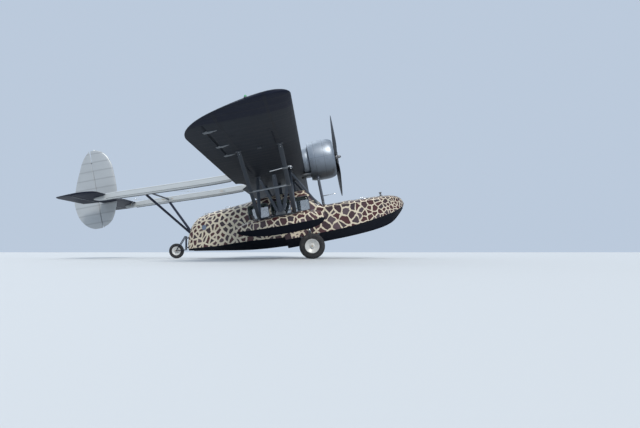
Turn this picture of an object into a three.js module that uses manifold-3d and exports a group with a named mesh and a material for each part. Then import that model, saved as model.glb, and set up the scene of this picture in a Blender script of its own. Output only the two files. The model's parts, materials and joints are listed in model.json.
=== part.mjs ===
// Twin-boom parasol-wing flying boat with wheels, standing on its gear.
// Units are millimetres. Body axes: +X to the nose, +Y to the left wing, +Z up.
// The body origin is on the centreline at the leading edge of the wing.
import * as THREE from 'three';
import { mergeVertices } from 'three/addons/utils/BufferGeometryUtils.js';
import Module from 'manifold-3d';

const wasm = await Module();
wasm.setup();

// Clearances
const SEAT = 0.35;
const RUNNING = 8;
const PIN_GAP = 0.7;

// Wing
const HALF_SPAN = 7925;
const CHORD = 2050;
const INCIDENCE = THREE.MathUtils.degToRad(3.4);
const DIHEDRAL = THREE.MathUtils.degToRad(1.0);
const CENTRE_HALF = 1150;
const FOIL_THICKNESS = 0.135;
const FOIL_CAMBER = 0.032;
const TIP_START = 6420;
const TIP_CHORD = 470;
const TIP_CORNER = 260;
const CUTOUT_HALF = 660;
const CUTOUT_DEPTH = 200;
const FRONT_SPAR = -430;
const REAR_SPAR = -1340;
const AILERON = { inner: 4350, outer: 7100, hinge: -1650 };

// Tail
const STABILIZER = { le: -5600, te: -6660, hinge: -6210, half: 2200, z: 170, thickness: 0.085, corner: 420 };
const ELEVATOR_INNER = 290;
const RUDDER_HINGE = -6340;
const FIN_THICKNESS = 78;

// Booms and their bracing
const BOOM_Y = 1250;
const BRACE_X = -4530;

// Hull
const CABIN = { front: 330, rear: -2880, wall: 30, sill: -1270, floor: -1880 };
const HATCH = { front: -2170, rear: -2760, half: 290, hingeZ: -706, hingeY: 330 };

// Engine
const THRUST_Z = 245;
const COWL_RADIUS = 597;
const COWL_BORE = 580;
const PROP_PLANE = 1005;
const PROP_RADIUS = 1295;
const PROP_REST = THREE.MathUtils.degToRad(120);

// Floats
const FLOAT_Y = 2400;
const RAIL_Z = -1378;

// Wheels
const MAIN = { x: -180, y: 1250, z: -2290, radius: 360, rim: 200, half: 88, axle: 22 };
const TAIL = { x: -4265, z: -1683, radius: 225, rim: 132, half: 52, axle: 14 };
const POST = { x: -3936, z: -1500, bore: 18, tube: 27 };

// Materials, coloured as on the real machine
const finish = (color, roughness, metalness) =>
  new THREE.MeshStandardMaterial({ color, roughness, metalness });
const HIDE = finish(0xd8cbb8, 0.45, 0.0);
const WING_DARK = finish(0x2a2e33, 0.5, 0.1);
const TAIL_NAVY = finish(0x1a2033, 0.45, 0.1);
const SILVER = finish(0xc6c9c8, 0.4, 0.5);
const STRUT_GREY = finish(0x565d66, 0.4, 0.4);
const STRUT_NAVY = finish(0x171c36, 0.4, 0.2);
const ALUMINIUM = finish(0x9aa3ab, 0.3, 0.9);
const STEEL = finish(0x3a3d40, 0.45, 0.8);
const BLADE = finish(0x202225, 0.35, 0.6);
const RUBBER = finish(0x17181a, 0.85, 0.0);
const RIM = finish(0xd5d6d2, 0.4, 0.3);
const GLASS = finish(0xa8c4cf, 0.08, 0.0);
const LEATHER = finish(0x6d4630, 0.6, 0.0);
const PLYWOOD = finish(0x9b8566, 0.7, 0.0);

const vec = (x, y, z) => new THREE.Vector3(x, y, z);
const X_AXIS = vec(1, 0, 0);
const Y_AXIS = vec(0, 1, 0);
const Z_AXIS = vec(0, 0, 1);

// Geometry to solid and back, so that pieces can be joined and cut.
function solid(geometry) {
  const bare = geometry.clone();
  bare.deleteAttribute('normal');
  bare.deleteAttribute('uv');
  const merged = mergeVertices(bare, 1e-3);
  const index = Array.from(merged.index.array);
  if (signedVolume(merged.attributes.position, index) < 0) turnOver(index);
  return new wasm.Manifold(new wasm.Mesh({
    numProp: 3,
    vertProperties: new Float32Array(merged.attributes.position.array),
    triVerts: new Uint32Array(index),
  }));
}

function signedVolume(position, index) {
  let volume = 0;
  const [a, b, c] = [vec(0, 0, 0), vec(0, 0, 0), vec(0, 0, 0)];
  for (let i = 0; i < index.length; i += 3) {
    a.fromBufferAttribute(position, index[i]);
    b.fromBufferAttribute(position, index[i + 1]);
    c.fromBufferAttribute(position, index[i + 2]);
    volume += a.dot(b.cross(c));
  }
  return volume;
}

function turnOver(index) {
  for (let i = 0; i < index.length; i += 3) [index[i], index[i + 1]] = [index[i + 1], index[i]];
}

function geometryOf(manifold) {
  const mesh = manifold.getMesh();
  const geometry = new THREE.BufferGeometry();
  geometry.setAttribute('position', new THREE.BufferAttribute(mesh.vertProperties.slice(), 3));
  geometry.setIndex(new THREE.BufferAttribute(mesh.triVerts.slice(), 1));
  return geometry;
}

const join = (...solids) => solids.reduce((whole, next) => whole.add(next));
const cut = (whole, ...tools) => tools.reduce((rest, tool) => rest.subtract(tool), whole);

function mirrored(geometry) {
  const copy = geometry.clone();
  const position = copy.attributes.position;
  for (let i = 0; i < position.count; i++) position.setY(i, -position.getY(i));
  turnOver(copy.index.array);
  return copy;
}

// A closed body through rings that all have the same number of points.
function loft(rings) {
  const count = rings[0].length;
  const points = rings.flat();
  const index = [];
  for (let r = 0; r < rings.length - 1; r++) {
    for (let i = 0; i < count; i++) {
      const a = r * count + i;
      const b = r * count + (i + 1) % count;
      index.push(a, b, b + count, a, b + count, a + count);
    }
  }
  const last = (rings.length - 1) * count;
  for (const [start, flip] of [[0, true], [last, false]]) {
    const hub = points.length;
    const ring = points.slice(start, start + count);
    points.push(ring.reduce((sum, p) => sum.add(p), vec(0, 0, 0)).divideScalar(count));
    for (let i = 0; i < count; i++) {
      const a = start + i;
      const b = start + (i + 1) % count;
      index.push(...(flip ? [hub, b, a] : [hub, a, b]));
    }
  }
  const geometry = new THREE.BufferGeometry().setFromPoints(points);
  geometry.setIndex(index);
  return solid(geometry);
}

// Simple solids
function box(low, high) {
  const size = high.clone().sub(low);
  const centre = low.clone().add(high).multiplyScalar(0.5);
  return solid(new THREE.BoxGeometry(size.x, size.y, size.z).translate(centre.x, centre.y, centre.z));
}

function rod(a, b, radius, sides = 10) {
  const axis = b.clone().sub(a);
  const middle = a.clone().add(b).multiplyScalar(0.5);
  const turn = new THREE.Quaternion().setFromUnitVectors(Y_AXIS, axis.clone().normalize());
  const geometry = new THREE.CylinderGeometry(radius, radius, axis.length(), sides)
    .applyQuaternion(turn)
    .translate(middle.x, middle.y, middle.z);
  return solid(geometry);
}

// A streamlined strut: an oval section with its chord laid fore and aft.
function strut(a, b, chord, thickness, sides = 8) {
  const axis = b.clone().sub(a).normalize();
  const along = X_AXIS.clone().addScaledVector(axis, -X_AXIS.dot(axis)).normalize();
  const across = axis.clone().cross(along);
  const ring = (centre) => Array.from({ length: sides }, (_, i) => {
    const angle = 2 * Math.PI * i / sides;
    return centre.clone()
      .addScaledVector(along, chord / 2 * Math.cos(angle))
      .addScaledVector(across, thickness / 2 * Math.sin(angle));
  });
  return loft([ring(a), ring(b)]);
}

// A body of revolution from a closed profile of [along, radius], about a line through `at`.
function turned(profile, at, axis, sides) {
  const points = profile.map(([along, radius]) => new THREE.Vector2(radius, along));
  const turn = new THREE.Quaternion().setFromUnitVectors(Y_AXIS, axis);
  const geometry = new THREE.LatheGeometry(points, sides)
    .applyQuaternion(turn)
    .translate(at.x, at.y, at.z);
  return solid(geometry);
}

// Aerofoil panels. Each station is a span position with its leading and trailing edge.
const FOIL_STEPS = [1, 0.85, 0.65, 0.45, 0.28, 0.15, 0.065, 0.022, 0.005];

function foilHalf(t) {
  return 5 * (0.2969 * Math.sqrt(t) - 0.126 * t - 0.3516 * t ** 2 + 0.2843 * t ** 3 - 0.1016 * t ** 4);
}

function foilCamber(t) {
  return t < 0.4 ? (0.8 * t - t * t) / 0.16 : (0.2 + 0.8 * t - t * t) / 0.36;
}

function foilRing(le, te, thickness, camber, place) {
  const chord = le - te;
  const upper = FOIL_STEPS.map((t) => place(le - t * chord, camber * foilCamber(t) + thickness * foilHalf(t)));
  const lower = FOIL_STEPS.map((t) => place(le - t * chord, camber * foilCamber(t) - thickness * foilHalf(t)));
  return [...upper, place(le, 0), ...lower.reverse()];
}

// Wing planform: square leading edge with a small corner, trailing edge swept in an ellipse.
function wingStation(y, grow) {
  const corner = Math.max(0, (y - (HALF_SPAN - TIP_CORNER)) / TIP_CORNER);
  const sweep = Math.max(0, (y - TIP_START) / (HALF_SPAN - TIP_START));
  const le = -TIP_CORNER * (1 - Math.sqrt(1 - Math.min(0.999, corner) ** 2));
  const te = -TIP_CHORD - (CHORD - TIP_CHORD) * Math.sqrt(1 - Math.min(0.9999, sweep) ** 2);
  const slim = Math.max(0.12, Math.sqrt(1 - 0.97 * sweep ** 2));
  const place = (x, up) => vec(x, y, x * Math.tan(INCIDENCE) + Math.abs(y) * Math.tan(DIHEDRAL) + up);
  return foilRing(le + grow, te - grow, slim * FOIL_THICKNESS * CHORD + 2 * grow,
    slim * FOIL_CAMBER * CHORD, place);
}

const TIP_STEPS = [0, 0.35, 0.6, 0.8, 0.91, 0.97, 1];

function wingHalf(from, grow = 0) {
  const spans = [from, ...TIP_STEPS.map((step) => TIP_START + step * (HALF_SPAN - TIP_START))];
  return loft(spans.map((y) => wingStation(y, grow)));
}

function wingCentreBlock(half, grow = 0) {
  return loft([-half, 0, half].map((y) => {
    const ring = wingStation(Math.abs(y), grow);
    return ring.map((p) => vec(p.x, y, p.z));
  }));
}

function wingZ(x, y, side) {
  const t = -x / CHORD;
  const half = FOIL_THICKNESS * CHORD * foilHalf(t);
  const mean = FOIL_CAMBER * CHORD * foilCamber(t);
  return x * Math.tan(INCIDENCE) + Math.abs(y) * Math.tan(DIHEDRAL) + mean + side * half;
}

// A hinge: a lug with a hole on the fixed piece, a notch and a pin on the moving one.
// Stations are distances along the axis from its origin.
function hinge(fixed, moving, { origin, axis, stations, nose, forward, reach }) {
  const width = 30;
  const pin = 7;
  const inner = nose + 14;
  for (const station of stations) {
    const at = origin.clone().addScaledVector(axis, station);
    const line = (half, radius) => rod(
      at.clone().addScaledVector(axis, -half), at.clone().addScaledVector(axis, half), radius, 8);
    moving = join(cut(moving, line(width / 2 + RUNNING, inner + RUNNING)), line(width / 2 + RUNNING + 10, pin));
    const arm = slab(at, axis, forward, width, nose * 1.3, reach);
    const lug = cut(join(line(width / 2, nose * 0.8), arm), line(width, pin + PIN_GAP + 0.2));
    fixed = join(fixed, lug);
  }
  return [fixed, moving];
}

// A flat bar from `at` along `forward`, `width` wide along `axis` and `depth` deep.
function slab(at, axis, forward, width, depth, length) {
  const across = axis.clone().cross(forward).normalize();
  const frame = new THREE.Matrix4().makeBasis(forward.clone().normalize(), axis, across);
  if (frame.determinant() < 0) frame.makeBasis(forward.clone().normalize(), axis, across.negate());
  frame.setPosition(at);
  return solid(new THREE.BoxGeometry(length, width, depth).translate(length / 2, 0, 0).applyMatrix4(frame));
}

// Boat-shaped sections: keel, chine, deck edge and a rounded top.
const ARC_STEPS = [0.15, 0.32, 0.49, 0.66, 0.82, 0.93];

function boatHalfRing({ x, keel, chineZ, chine, edgeZ, edge, crown, round }, grow) {
  const ring = [[0, keel - grow * 1.1], [chine + grow, chineZ - grow * 0.4], [edge + grow, edgeZ]];
  for (const step of ARC_STEPS) {
    const angle = step * Math.PI / 2;
    ring.push([
      (edge + grow) * Math.cos(angle) ** (2 / round),
      edgeZ + (crown + grow - edgeZ) * Math.sin(angle) ** (2 / round),
    ]);
  }
  ring.push([0, crown + grow]);
  return ring.map(([y, z]) => vec(x, y, z));
}

// Both halves are mirror images, so that left and right pieces fit the shell alike.
function boatShell(sections, grow) {
  const half = loft(sections.map((section) => boatHalfRing(section, grow)));
  return join(half, solid(mirrored(geometryOf(half))));
}

// Hull sections. Columns: x, keel, chine z, chine half-width, deck edge z, its half-width, crown, roundness.
const HULL_TABLE = [
  [2742, -1560, -1545, 60, -1490, 95, -1440, 2.2],
  [2690, -1640, -1590, 165, -1420, 195, -1345, 2.2],
  [2560, -1785, -1655, 290, -1350, 310, -1245, 2.2],
  [2310, -1985, -1735, 385, -1305, 410, -1180, 2.2],
  [1970, -2085, -1800, 460, -1285, 485, -1150, 2.2],
  [1460, -2145, -1873, 525, -1275, 550, -1135, 2.2],
  [850, -2178, -1930, 565, -1270, 590, -1127, 2.3],
  [330, -2190, -1948, 575, -1270, 600, -1122, 2.4],
  [120, -2194, -1953, 576, -1270, 600, -858, 2.9],
  [-100, -2196, -1957, 577, -1270, 600, -585, 3.4],
  [-500, -2198, -1965, 578, -1270, 600, -578, 3.6],
  [-918, -2200, -1973, 578, -1270, 600, -580, 3.6],
  [-922, -2126, -1897, 572, -1270, 600, -580, 3.6],
  [-1450, -2100, -1855, 558, -1268, 585, -600, 3.4],
  [-2000, -2050, -1812, 530, -1262, 555, -655, 3.0],
  [-2450, -1985, -1797, 480, -1255, 505, -690, 2.7],
  [-2880, -1912, -1785, 405, -1250, 430, -718, 2.5],
  [-3350, -1832, -1745, 278, -1250, 305, -800, 2.3],
  [-3600, -1792, -1718, 185, -1255, 215, -965, 2.3],
  [-3780, -1762, -1700, 100, -1330, 125, -1240, 2.2],
  [-3890, -1742, -1690, 42, -1600, 45, -1570, 2.2],
];

function hullShell(grow = 0) {
  const sections = HULL_TABLE.map(([x, keel, chineZ, chine, edgeZ, edge, crown, round]) =>
    ({ x, keel, chineZ, chine, edgeZ, edge, crown, round }));
  return boatShell(sections, grow);
}

// Side float sections. Columns: x, keel, chine z, chine half-width, deck edge z, its half-width, crown.
const FLOAT_TABLE = [
  [305, -1632, -1612, 30, -1580, 40, -1550],
  [262, -1690, -1630, 105, -1530, 120, -1482],
  [130, -1780, -1648, 178, -1498, 192, -1428],
  [-150, -1842, -1662, 228, -1486, 240, -1404],
  [-650, -1862, -1668, 242, -1484, 252, -1400],
  [-1150, -1846, -1660, 232, -1486, 243, -1402],
  [-1550, -1798, -1644, 188, -1494, 200, -1416],
  [-1850, -1722, -1624, 108, -1512, 122, -1450],
  [-2022, -1640, -1606, 24, -1552, 34, -1524],
];

function floatShell(grow = 0) {
  const sections = FLOAT_TABLE.map(([x, keel, chineZ, chine, edgeZ, edge, crown]) =>
    ({ x, keel, chineZ, chine, edgeZ, edge, crown, round: 2.3 }));
  return boatShell(sections, grow).translate([0, FLOAT_Y, 0]);
}

// The scene graph: everything hangs in one group that is turned to the parked attitude.
const airframe = new THREE.Group();

function add(name, shape, material, pivot = vec(0, 0, 0)) {
  const geometry = shape.isBufferGeometry ? shape : geometryOf(shape);
  const mesh = new THREE.Mesh(geometry.translate(-pivot.x, -pivot.y, -pivot.z), material);
  mesh.name = name;
  mesh.position.copy(pivot);
  airframe.add(mesh);
}

// The left piece is built, and the right one is its mirror image.
function addPair(name, shape, material, pivot = vec(0, 0, 0)) {
  const geometry = geometryOf(shape);
  add(`${name}_right`, mirrored(geometry), material, vec(pivot.x, -pivot.y, pivot.z));
  add(`${name}_left`, geometry, material, pivot);
}

// Parked attitude: the ground line touches the main tyres and the tail tyre.
function parkedPitch() {
  const run = MAIN.x - TAIL.x;
  const rise = MAIN.z - TAIL.z;
  const drop = MAIN.radius - TAIL.radius;
  return Math.atan2(-rise, run) + Math.asin(drop / Math.hypot(run, rise));
}

const PITCH = parkedPitch();
const UPRIGHT = vec(Math.sin(PITCH), 0, Math.cos(PITCH));
const LEVEL_AFT = vec(-Math.cos(PITCH), 0, Math.sin(PITCH));

// Hull: a decked bow and stern, an open cabin tub and a cabin top with its windows cut
const hull = hullShell();
const hullGrown = hullShell(SEAT);
const cabinRoom = hullShell(-CABIN.wall)
  .intersect(box(vec(CABIN.rear + CABIN.wall, -900, -3000), vec(CABIN.front - CABIN.wall, 900, 0)));

const hullSlice = (rear, front, low, high) => hull.intersect(box(vec(rear, -900, low), vec(front, 900, high)));

function windowCutters() {
  const cutters = [];
  const sidePanes = [[-520, -60], [-1170, -610], [-1850, -1260]];
  for (const [rear, front] of sidePanes) {
    for (const side of [-1, 1]) {
      const near = side * 380;
      const far = side * 800;
      cutters.push(box(vec(rear, Math.min(near, far), -1205), vec(front, Math.max(near, far), -800)));
    }
  }
  return cutters;
}

// The windscreen is a sloping slice across the front of the cabin top.
function windscreenSlice(margin, from, to) {
  const foot = vec(CABIN.front - 45 - margin, 0, -1090 + margin);
  const head = vec(-85 + margin * 0.6, 0, -640 - margin);
  const out = vec(0.78, 0, 0.63);
  const ring = (y) => [
    foot.clone().addScaledVector(out, -70),
    foot.clone().addScaledVector(out, 260),
    head.clone().addScaledVector(out, 260),
    head.clone().addScaledVector(out, -70),
  ].map((p) => vec(p.x, y, p.z));
  return loft([ring(from), ring(to)]);
}

function makeCabin() {
  const top = cut(hullSlice(CABIN.rear, CABIN.front, CABIN.sill + SEAT, 0), cabinRoom);
  const hatchHole = box(vec(HATCH.rear, -HATCH.half, -1000), vec(HATCH.front, HATCH.half, -400));
  let roof = cut(top, ...windowCutters(), hatchHole, windscreenSlice(25, 30, 430), windscreenSlice(25, -430, -30));
  const lidBox = box(
    vec(HATCH.rear + 6, -HATCH.half + 6, -1000), vec(HATCH.front - 6, HATCH.half - 6, -400));
  let lid = cut(hull.intersect(lidBox), hullShell(-22));
  [roof, lid] = hatchHinge(roof, lid);
  add('hull_tub', cut(hullSlice(CABIN.rear, CABIN.front, -3000, CABIN.sill), cabinRoom), HIDE);
  add('cabin_top', roof, HIDE);
  add('entry_hatch', lid, HIDE, vec(HATCH.front, HATCH.hingeY, HATCH.hingeZ));
}

// The hatch turns on two raised pins beside its left edge.
function hatchHinge(roof, lid) {
  const hatchInside = hullShell(-22);
  for (const x of [HATCH.rear + 130, HATCH.front - 130]) {
    const at = vec(x, HATCH.hingeY, HATCH.hingeZ);
    const line = (half, radius) => rod(vec(x - half, at.y, at.z), vec(x + half, at.y, at.z), radius, 10);
    const post = box(vec(x - 12, at.y - 11, at.z - 120), vec(x + 12, at.y + 11, at.z));
    const lug = cut(join(post, line(12, 13)), line(30, 6 + PIN_GAP), cabinRoom);
    roof = join(roof, lug);
    for (const side of [-1, 1]) {
      const low = x + side * 26 - 8;
      const bar = box(vec(low, HATCH.half - 90, at.z - 9), vec(low + 16, at.y + 9, at.z + 9));
      const foot = box(vec(low, HATCH.half - 90, at.z - 90), vec(low + 16, HATCH.half - 20, at.z));
      lid = join(lid, cut(join(bar, foot), hatchInside));
    }
    lid = join(lid, line(34, 6));
  }
  return [roof, lid];
}

function makeGlass() {
  const sheet = cut(hullShell(-CABIN.wall - SEAT), hullShell(-CABIN.wall - 6));
  const side = sheet.intersect(box(vec(-1900, 300, -1235), vec(-40, 800, -778)));
  addPair('side_glass', side, GLASS);
  const sideBay = box(vec(-1905, -800, -1240), vec(-34, 800, -772));
  add('windscreen', cut(sheet.intersect(windscreenSlice(0, -470, 470)), sideBay), GLASS);
}

function makeHull() {
  add('hull_bow', hullSlice(CABIN.front + SEAT, 3000, -3000, 0), HIDE);
  add('hull_stern', sternWithPost(hullSlice(-4000, CABIN.rear - SEAT, -3000, 0)), HIDE);
  makeCabin();
  makeGlass();
}

// The tail wheel turns in an upright tube held off the stern by two brackets.
function postPoint(distance) {
  return vec(POST.x, 0, POST.z).addScaledVector(UPRIGHT, distance);
}

const POST_TOP = 175;
const POST_BOTTOM = -185;

function sternWithPost(stern) {
  const tube = rod(postPoint(POST_BOTTOM), postPoint(POST_TOP), POST.tube, 16);
  const bracket = (distance, length) => {
    const at = postPoint(distance);
    return box(vec(at.x, -14, at.z - 16), vec(at.x + length, 14, at.z + 16));
  };
  const whole = join(stern, tube, bracket(POST_TOP - 30, 160), bracket(POST_BOTTOM + 40, 70));
  return cut(whole, rod(postPoint(POST_BOTTOM - 40), postPoint(POST_TOP + 40), POST.bore + PIN_GAP, 16));
}

// Cabin furniture
function profilePrism(profile, from, to) {
  return loft([profile.map(([x, z]) => vec(x, from, z)), profile.map(([x, z]) => vec(x, to, z))]);
}

function seatBody(front, from, to) {
  const cushion = box(vec(front - 480, from, -1610), vec(front, to, -1500));
  const back = profilePrism([
    [front - 400, -1500], [front - 490, -1500], [front - 600, -1010], [front - 515, -1000]], from, to);
  const base = box(vec(front - 440, from + 80, CABIN.floor + SEAT), vec(front - 60, to - 80, -1605));
  return join(cushion, box(vec(front - 495, from, -1560), vec(front - 400, to, -1490)), back, base);
}

function makeInterior() {
  const room = hullShell(-CABIN.wall - SEAT);
  const floorBox = box(vec(CABIN.rear + CABIN.wall + 5, -800, CABIN.floor - 20), vec(CABIN.front - 35, 800, CABIN.floor));
  add('cabin_floor', room.intersect(floorBox), PLYWOOD);
  addPair('front_seat', seatBody(-330, 70, 470), LEATHER);
  add('rear_bench', seatBody(-1300, -400, 400), LEATHER);
  const panel = room.intersect(box(vec(165, -800, -1262), vec(190, 800, -1075)));
  add('instrument_panel', panel, STEEL);
  const column = join(
    rod(vec(-70, 0, CABIN.floor + 16), vec(20, 0, -1330), 17, 8),
    rod(vec(20, -6, -1345), vec(20, 330, -1345), 14, 8),
    rod(vec(-70, 0, CABIN.floor + SEAT), vec(-70, 0, CABIN.floor + 26), 60, 12),
    turned([[-11, 124], [-11, 146], [11, 146], [11, 124], [-11, 124]], vec(-18, 300, -1345), X_AXIS, 14),
    box(vec(-29, 290, -1480), vec(-7, 310, -1210)),
    rod(vec(-20, 300, -1345), vec(30, 300, -1345), 20, 8),
  );
  add('control_column', column, STEEL);
}

// Wing panels, ailerons and fittings
const AILERON_NOSE = 38;

function aileronHinge() {
  const point = (y) => {
    const z = (wingZ(AILERON.hinge, y, 1) + wingZ(AILERON.hinge, y, -1)) / 2;
    return vec(AILERON.hinge, y, z);
  };
  const origin = point(AILERON.inner);
  const axis = point(AILERON.outer).sub(origin).normalize();
  return { origin, axis };
}

function makeWing() {
  const { origin, axis } = aileronHinge();
  const whole = wingHalf(CENTRE_HALF + SEAT);
  const bay = (rearOf, margin) => box(
    vec(-3000, AILERON.inner - margin, -600), vec(rearOf, AILERON.outer + margin, 900));
  const noseEnd = origin.clone().addScaledVector(axis, AILERON.outer - AILERON.inner);
  let wing = cut(whole, bay(AILERON.hinge + AILERON_NOSE + RUNNING, RUNNING));
  let aileron = join(whole.intersect(bay(AILERON.hinge, 0)), rod(origin, noseEnd, AILERON_NOSE, 10));
  [wing, aileron] = hinge(wing, aileron, {
    origin, axis, stations: [200, 1100, 2340], nose: AILERON_NOSE, forward: X_AXIS, reach: 110 });
  const padZ = wingZ(-880, 4750, -1);
  const pad = box(vec(-930, 4700, padZ - 22), vec(-830, 4800, padZ + 60));
  addPair('wing', join(wing, pad), WING_DARK);
  addPair('aileron', aileron, WING_DARK, origin);
}

function cutoutTool() {
  const rise = CUTOUT_DEPTH * 1.15;
  const shape = new THREE.Shape();
  shape.absellipse(0, 0, CUTOUT_HALF, rise, 0, 2 * Math.PI);
  const geometry = new THREE.ExtrudeGeometry(shape, { depth: 1200, bevelEnabled: false, curveSegments: 14 })
    .rotateZ(Math.PI / 2)
    .translate(-CHORD - 2 + rise - CUTOUT_DEPTH - rise * 0.15, 0, -600);
  return solid(geometry);
}

function makeWingCentre() {
  const padZ = wingZ(-1350, 560, 1);
  const pads = [-1, 1].map((side) => box(
    vec(-1400, side * 560 - 50, padZ - 60), vec(-1300, side * 560 + 50, padZ + 22)));
  add('wing_centre', join(cut(wingCentreBlock(CENTRE_HALF), cutoutTool()), ...pads), WING_DARK);
}

const wingGrown = join(wingCentreBlock(CENTRE_HALF + SEAT, SEAT), wingHalf(CENTRE_HALF, SEAT));

// Engine, nacelle, cowl and propeller
function makeEngine() {
  const centre = vec(0, 0, THRUST_Z);
  const pod = turned([
    [170, 0], [170, 440], [60, 452], [-150, 440], [-450, 390], [-800, 285], [-1100, 150], [-1230, 60], [-1250, 0]],
  centre, X_AXIS, 18);
  const underWing = box(vec(-1500, -700, -800), vec(-12, 700, 20));
  add('nacelle', cut(pod, underWing, wingCentreBlock(CENTRE_HALF, SEAT)), ALUMINIUM);

  const ring = turned([
    [172, 545], [172, 556], [330, 588], [560, COWL_RADIUS], [780, 586], [900, 538], [930, 492], [905, 482],
    [680, COWL_BORE], [460, COWL_BORE], [172, 545]], centre, X_AXIS, 36);
  add('engine_cowl', ring, ALUMINIUM);

  const crankcase = turned([
    [170 + SEAT, 0], [170 + SEAT, 330], [300, 330], [330, 215], [470, 245], [660, 245], [790, 150],
    [850, 80], [PROP_PLANE - 70, 70], [PROP_PLANE - 70, 0]], centre, X_AXIS, 18);
  const cylinders = [];
  const headFace = Math.sqrt((COWL_BORE * Math.cos(Math.PI / 36) - SEAT) ** 2 - 76 ** 2);
  for (let i = 0; i < 9; i++) {
    const angle = 2 * Math.PI * i / 9;
    const out = vec(0, Math.sin(angle), Math.cos(angle));
    const at = (radius) => vec(570, 0, THRUST_Z).addScaledVector(out, radius);
    cylinders.push(rod(at(200), at(headFace), 76, 8));
  }
  add('engine', join(crankcase, ...cylinders), STEEL);
  makePropeller(centre);
}

// Blade stations. Columns: radius, chord, thickness, pitch in degrees.
const BLADE_TABLE = [
  [50, 96, 84, 62],
  [170, 104, 70, 55],
  [330, 168, 40, 44],
  [560, 205, 27, 34],
  [820, 202, 20, 26],
  [1060, 172, 15, 21],
  [1220, 118, 11, 18],
  [PROP_RADIUS, 42, 7, 17],
];

function makePropeller(centre) {
  const rings = BLADE_TABLE.map(([radius, chord, thickness, pitch]) => {
    const turn = THREE.MathUtils.degToRad(90 - pitch);
    return Array.from({ length: 8 }, (_, i) => {
      const angle = 2 * Math.PI * i / 8;
      const u = chord / 2 * Math.cos(angle);
      const w = thickness / 2 * Math.sin(angle);
      return vec(u * Math.cos(turn) - w * Math.sin(turn), u * Math.sin(turn) + w * Math.cos(turn), radius);
    });
  });
  const hub = turned([
    [-69, 0], [-69, 78], [20, 82], [70, 66], [112, 40], [142, 22], [145, 0]],
  vec(0, 0, 0), X_AXIS, 14);
  const half = loft(rings);
  const blades = [half, solid(geometryOf(half).rotateX(Math.PI))];
  const geometry = geometryOf(join(hub, ...blades));
  geometry.rotateX(PROP_REST - Math.PI / 2).translate(PROP_PLANE, 0, centre.z);
  add('propeller', geometry, BLADE, vec(PROP_PLANE, 0, centre.z));
}

// Booms: rounded box sections. Columns: x, centre z, height, width.
const BOOM_TABLE = [
  [-1330, 100, 44, 40],
  [-1480, 72, 150, 100],
  [-1800, 22, 206, 132],
  [-2200, 2, 212, 140],
  [BRACE_X, 66, 200, 126],
  [-5500, 100, 186, 114],
  [-5800, 96, 138, 86],
  [-5960, 92, 40, 26],
];

function boomShell(grow = 0) {
  const corner = 0.62;
  const rings = BOOM_TABLE.map(([x, z, height, width]) => {
    const h = height / 2 + grow;
    const w = width / 2 + grow;
    return [[1, corner], [corner, 1], [-corner, 1], [-1, corner], [-1, -0.8], [-0.8, -1], [0.8, -1], [1, -0.8]]
      .map(([a, b]) => vec(x, BOOM_Y + a * w, z + b * h));
  });
  return loft(rings);
}

function makeBooms() {
  const underRoot = box(vec(-2075, 1000, -400), vec(-1200, 1500, -70));
  addPair('boom', cut(boomShell(), underRoot, wingGrown, tailPanel(SEAT)), SILVER);
  const boomGrown = boomShell(SEAT);
  const tube = strut(vec(BRACE_X, -BOOM_Y, 74), vec(BRACE_X, BOOM_Y, 74), 74, 46);
  const farBoom = solid(mirrored(geometryOf(boomGrown)));
  add('boom_cross_tube', cut(tube, boomGrown, farBoom), STRUT_NAVY);
  const leg = strut(vec(-3690, 60, -1290), vec(BRACE_X, BOOM_Y - 6, 0), 78, 48);
  addPair('stern_strut', cut(leg, boomGrown, hullGrown), STRUT_NAVY);
}

// Horizontal tail
function tailPanel(grow = 0) {
  const { le, te, half, z, thickness, corner } = STABILIZER;
  const depth = thickness * (le - te);
  const steps = [0, half - corner, half - 0.55 * corner, half - 0.22 * corner, half - 0.05 * corner, half];
  const ring = (y) => {
    const out = Math.max(0, (Math.abs(y) - (half - corner)) / corner);
    const round = 1 - Math.sqrt(1 - Math.min(0.995, out) ** 2);
    const slim = 1 - 0.75 * round;
    return foilRing(le - corner * 0.95 * round + grow, te + corner * 0.35 * round - grow,
      depth * slim + 2 * grow, 0, (x, up) => vec(x, y, z + up));
  };
  const spans = [...steps.slice(1).reverse().map((s) => -s), ...steps];
  return loft(spans.map(ring));
}

const ELEVATOR_NOSE = 30;
const RUDDER_NOSE = 30;

function makeTailplane() {
  const { hinge: line, half, z } = STABILIZER;
  const whole = tailPanel();
  const reach = 4000;
  let fixed = whole.intersect(box(vec(line + ELEVATOR_NOSE + RUNNING, -reach, -500), vec(0, reach, 900)));
  const aft = whole.intersect(box(vec(-8000, ELEVATOR_INNER, -500), vec(line, reach, 900)));
  let moving = join(aft, rod(vec(line, ELEVATOR_INNER, z), vec(line, half - 130, z), ELEVATOR_NOSE, 10));
  const port = { origin: vec(line, 0, z), axis: Y_AXIS, stations: [560, 1700], nose: ELEVATOR_NOSE,
    forward: X_AXIS, reach: 75 };
  [fixed, moving] = hinge(fixed, moving, port);
  const lugs = { ...port, stations: port.stations.map((s) => -s) };
  [fixed] = hinge(fixed, solid(mirrored(geometryOf(moving))), lugs);
  add('stabilizer', fixed, TAIL_NAVY);
  addPair('elevator', moving, TAIL_NAVY, vec(line, ELEVATOR_INNER, z));
}

// Fin and rudder outline. Columns: z, leading edge, trailing edge, thickness share.
const FIN_TABLE = [
  [1752, -6120, -6290, 0.3],
  [1680, -5960, -6420, 0.6],
  [1500, -5810, -6570, 0.85],
  [1180, -5715, -6730, 1],
  [700, -5700, -6930, 1],
  [220, -5745, -7050, 1],
  [-130, -5860, -7005, 1],
  [-380, -5990, -6875, 0.9],
  [-530, -6170, -6710, 0.7],
  [-594, -6370, -6560, 0.35],
];

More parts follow.
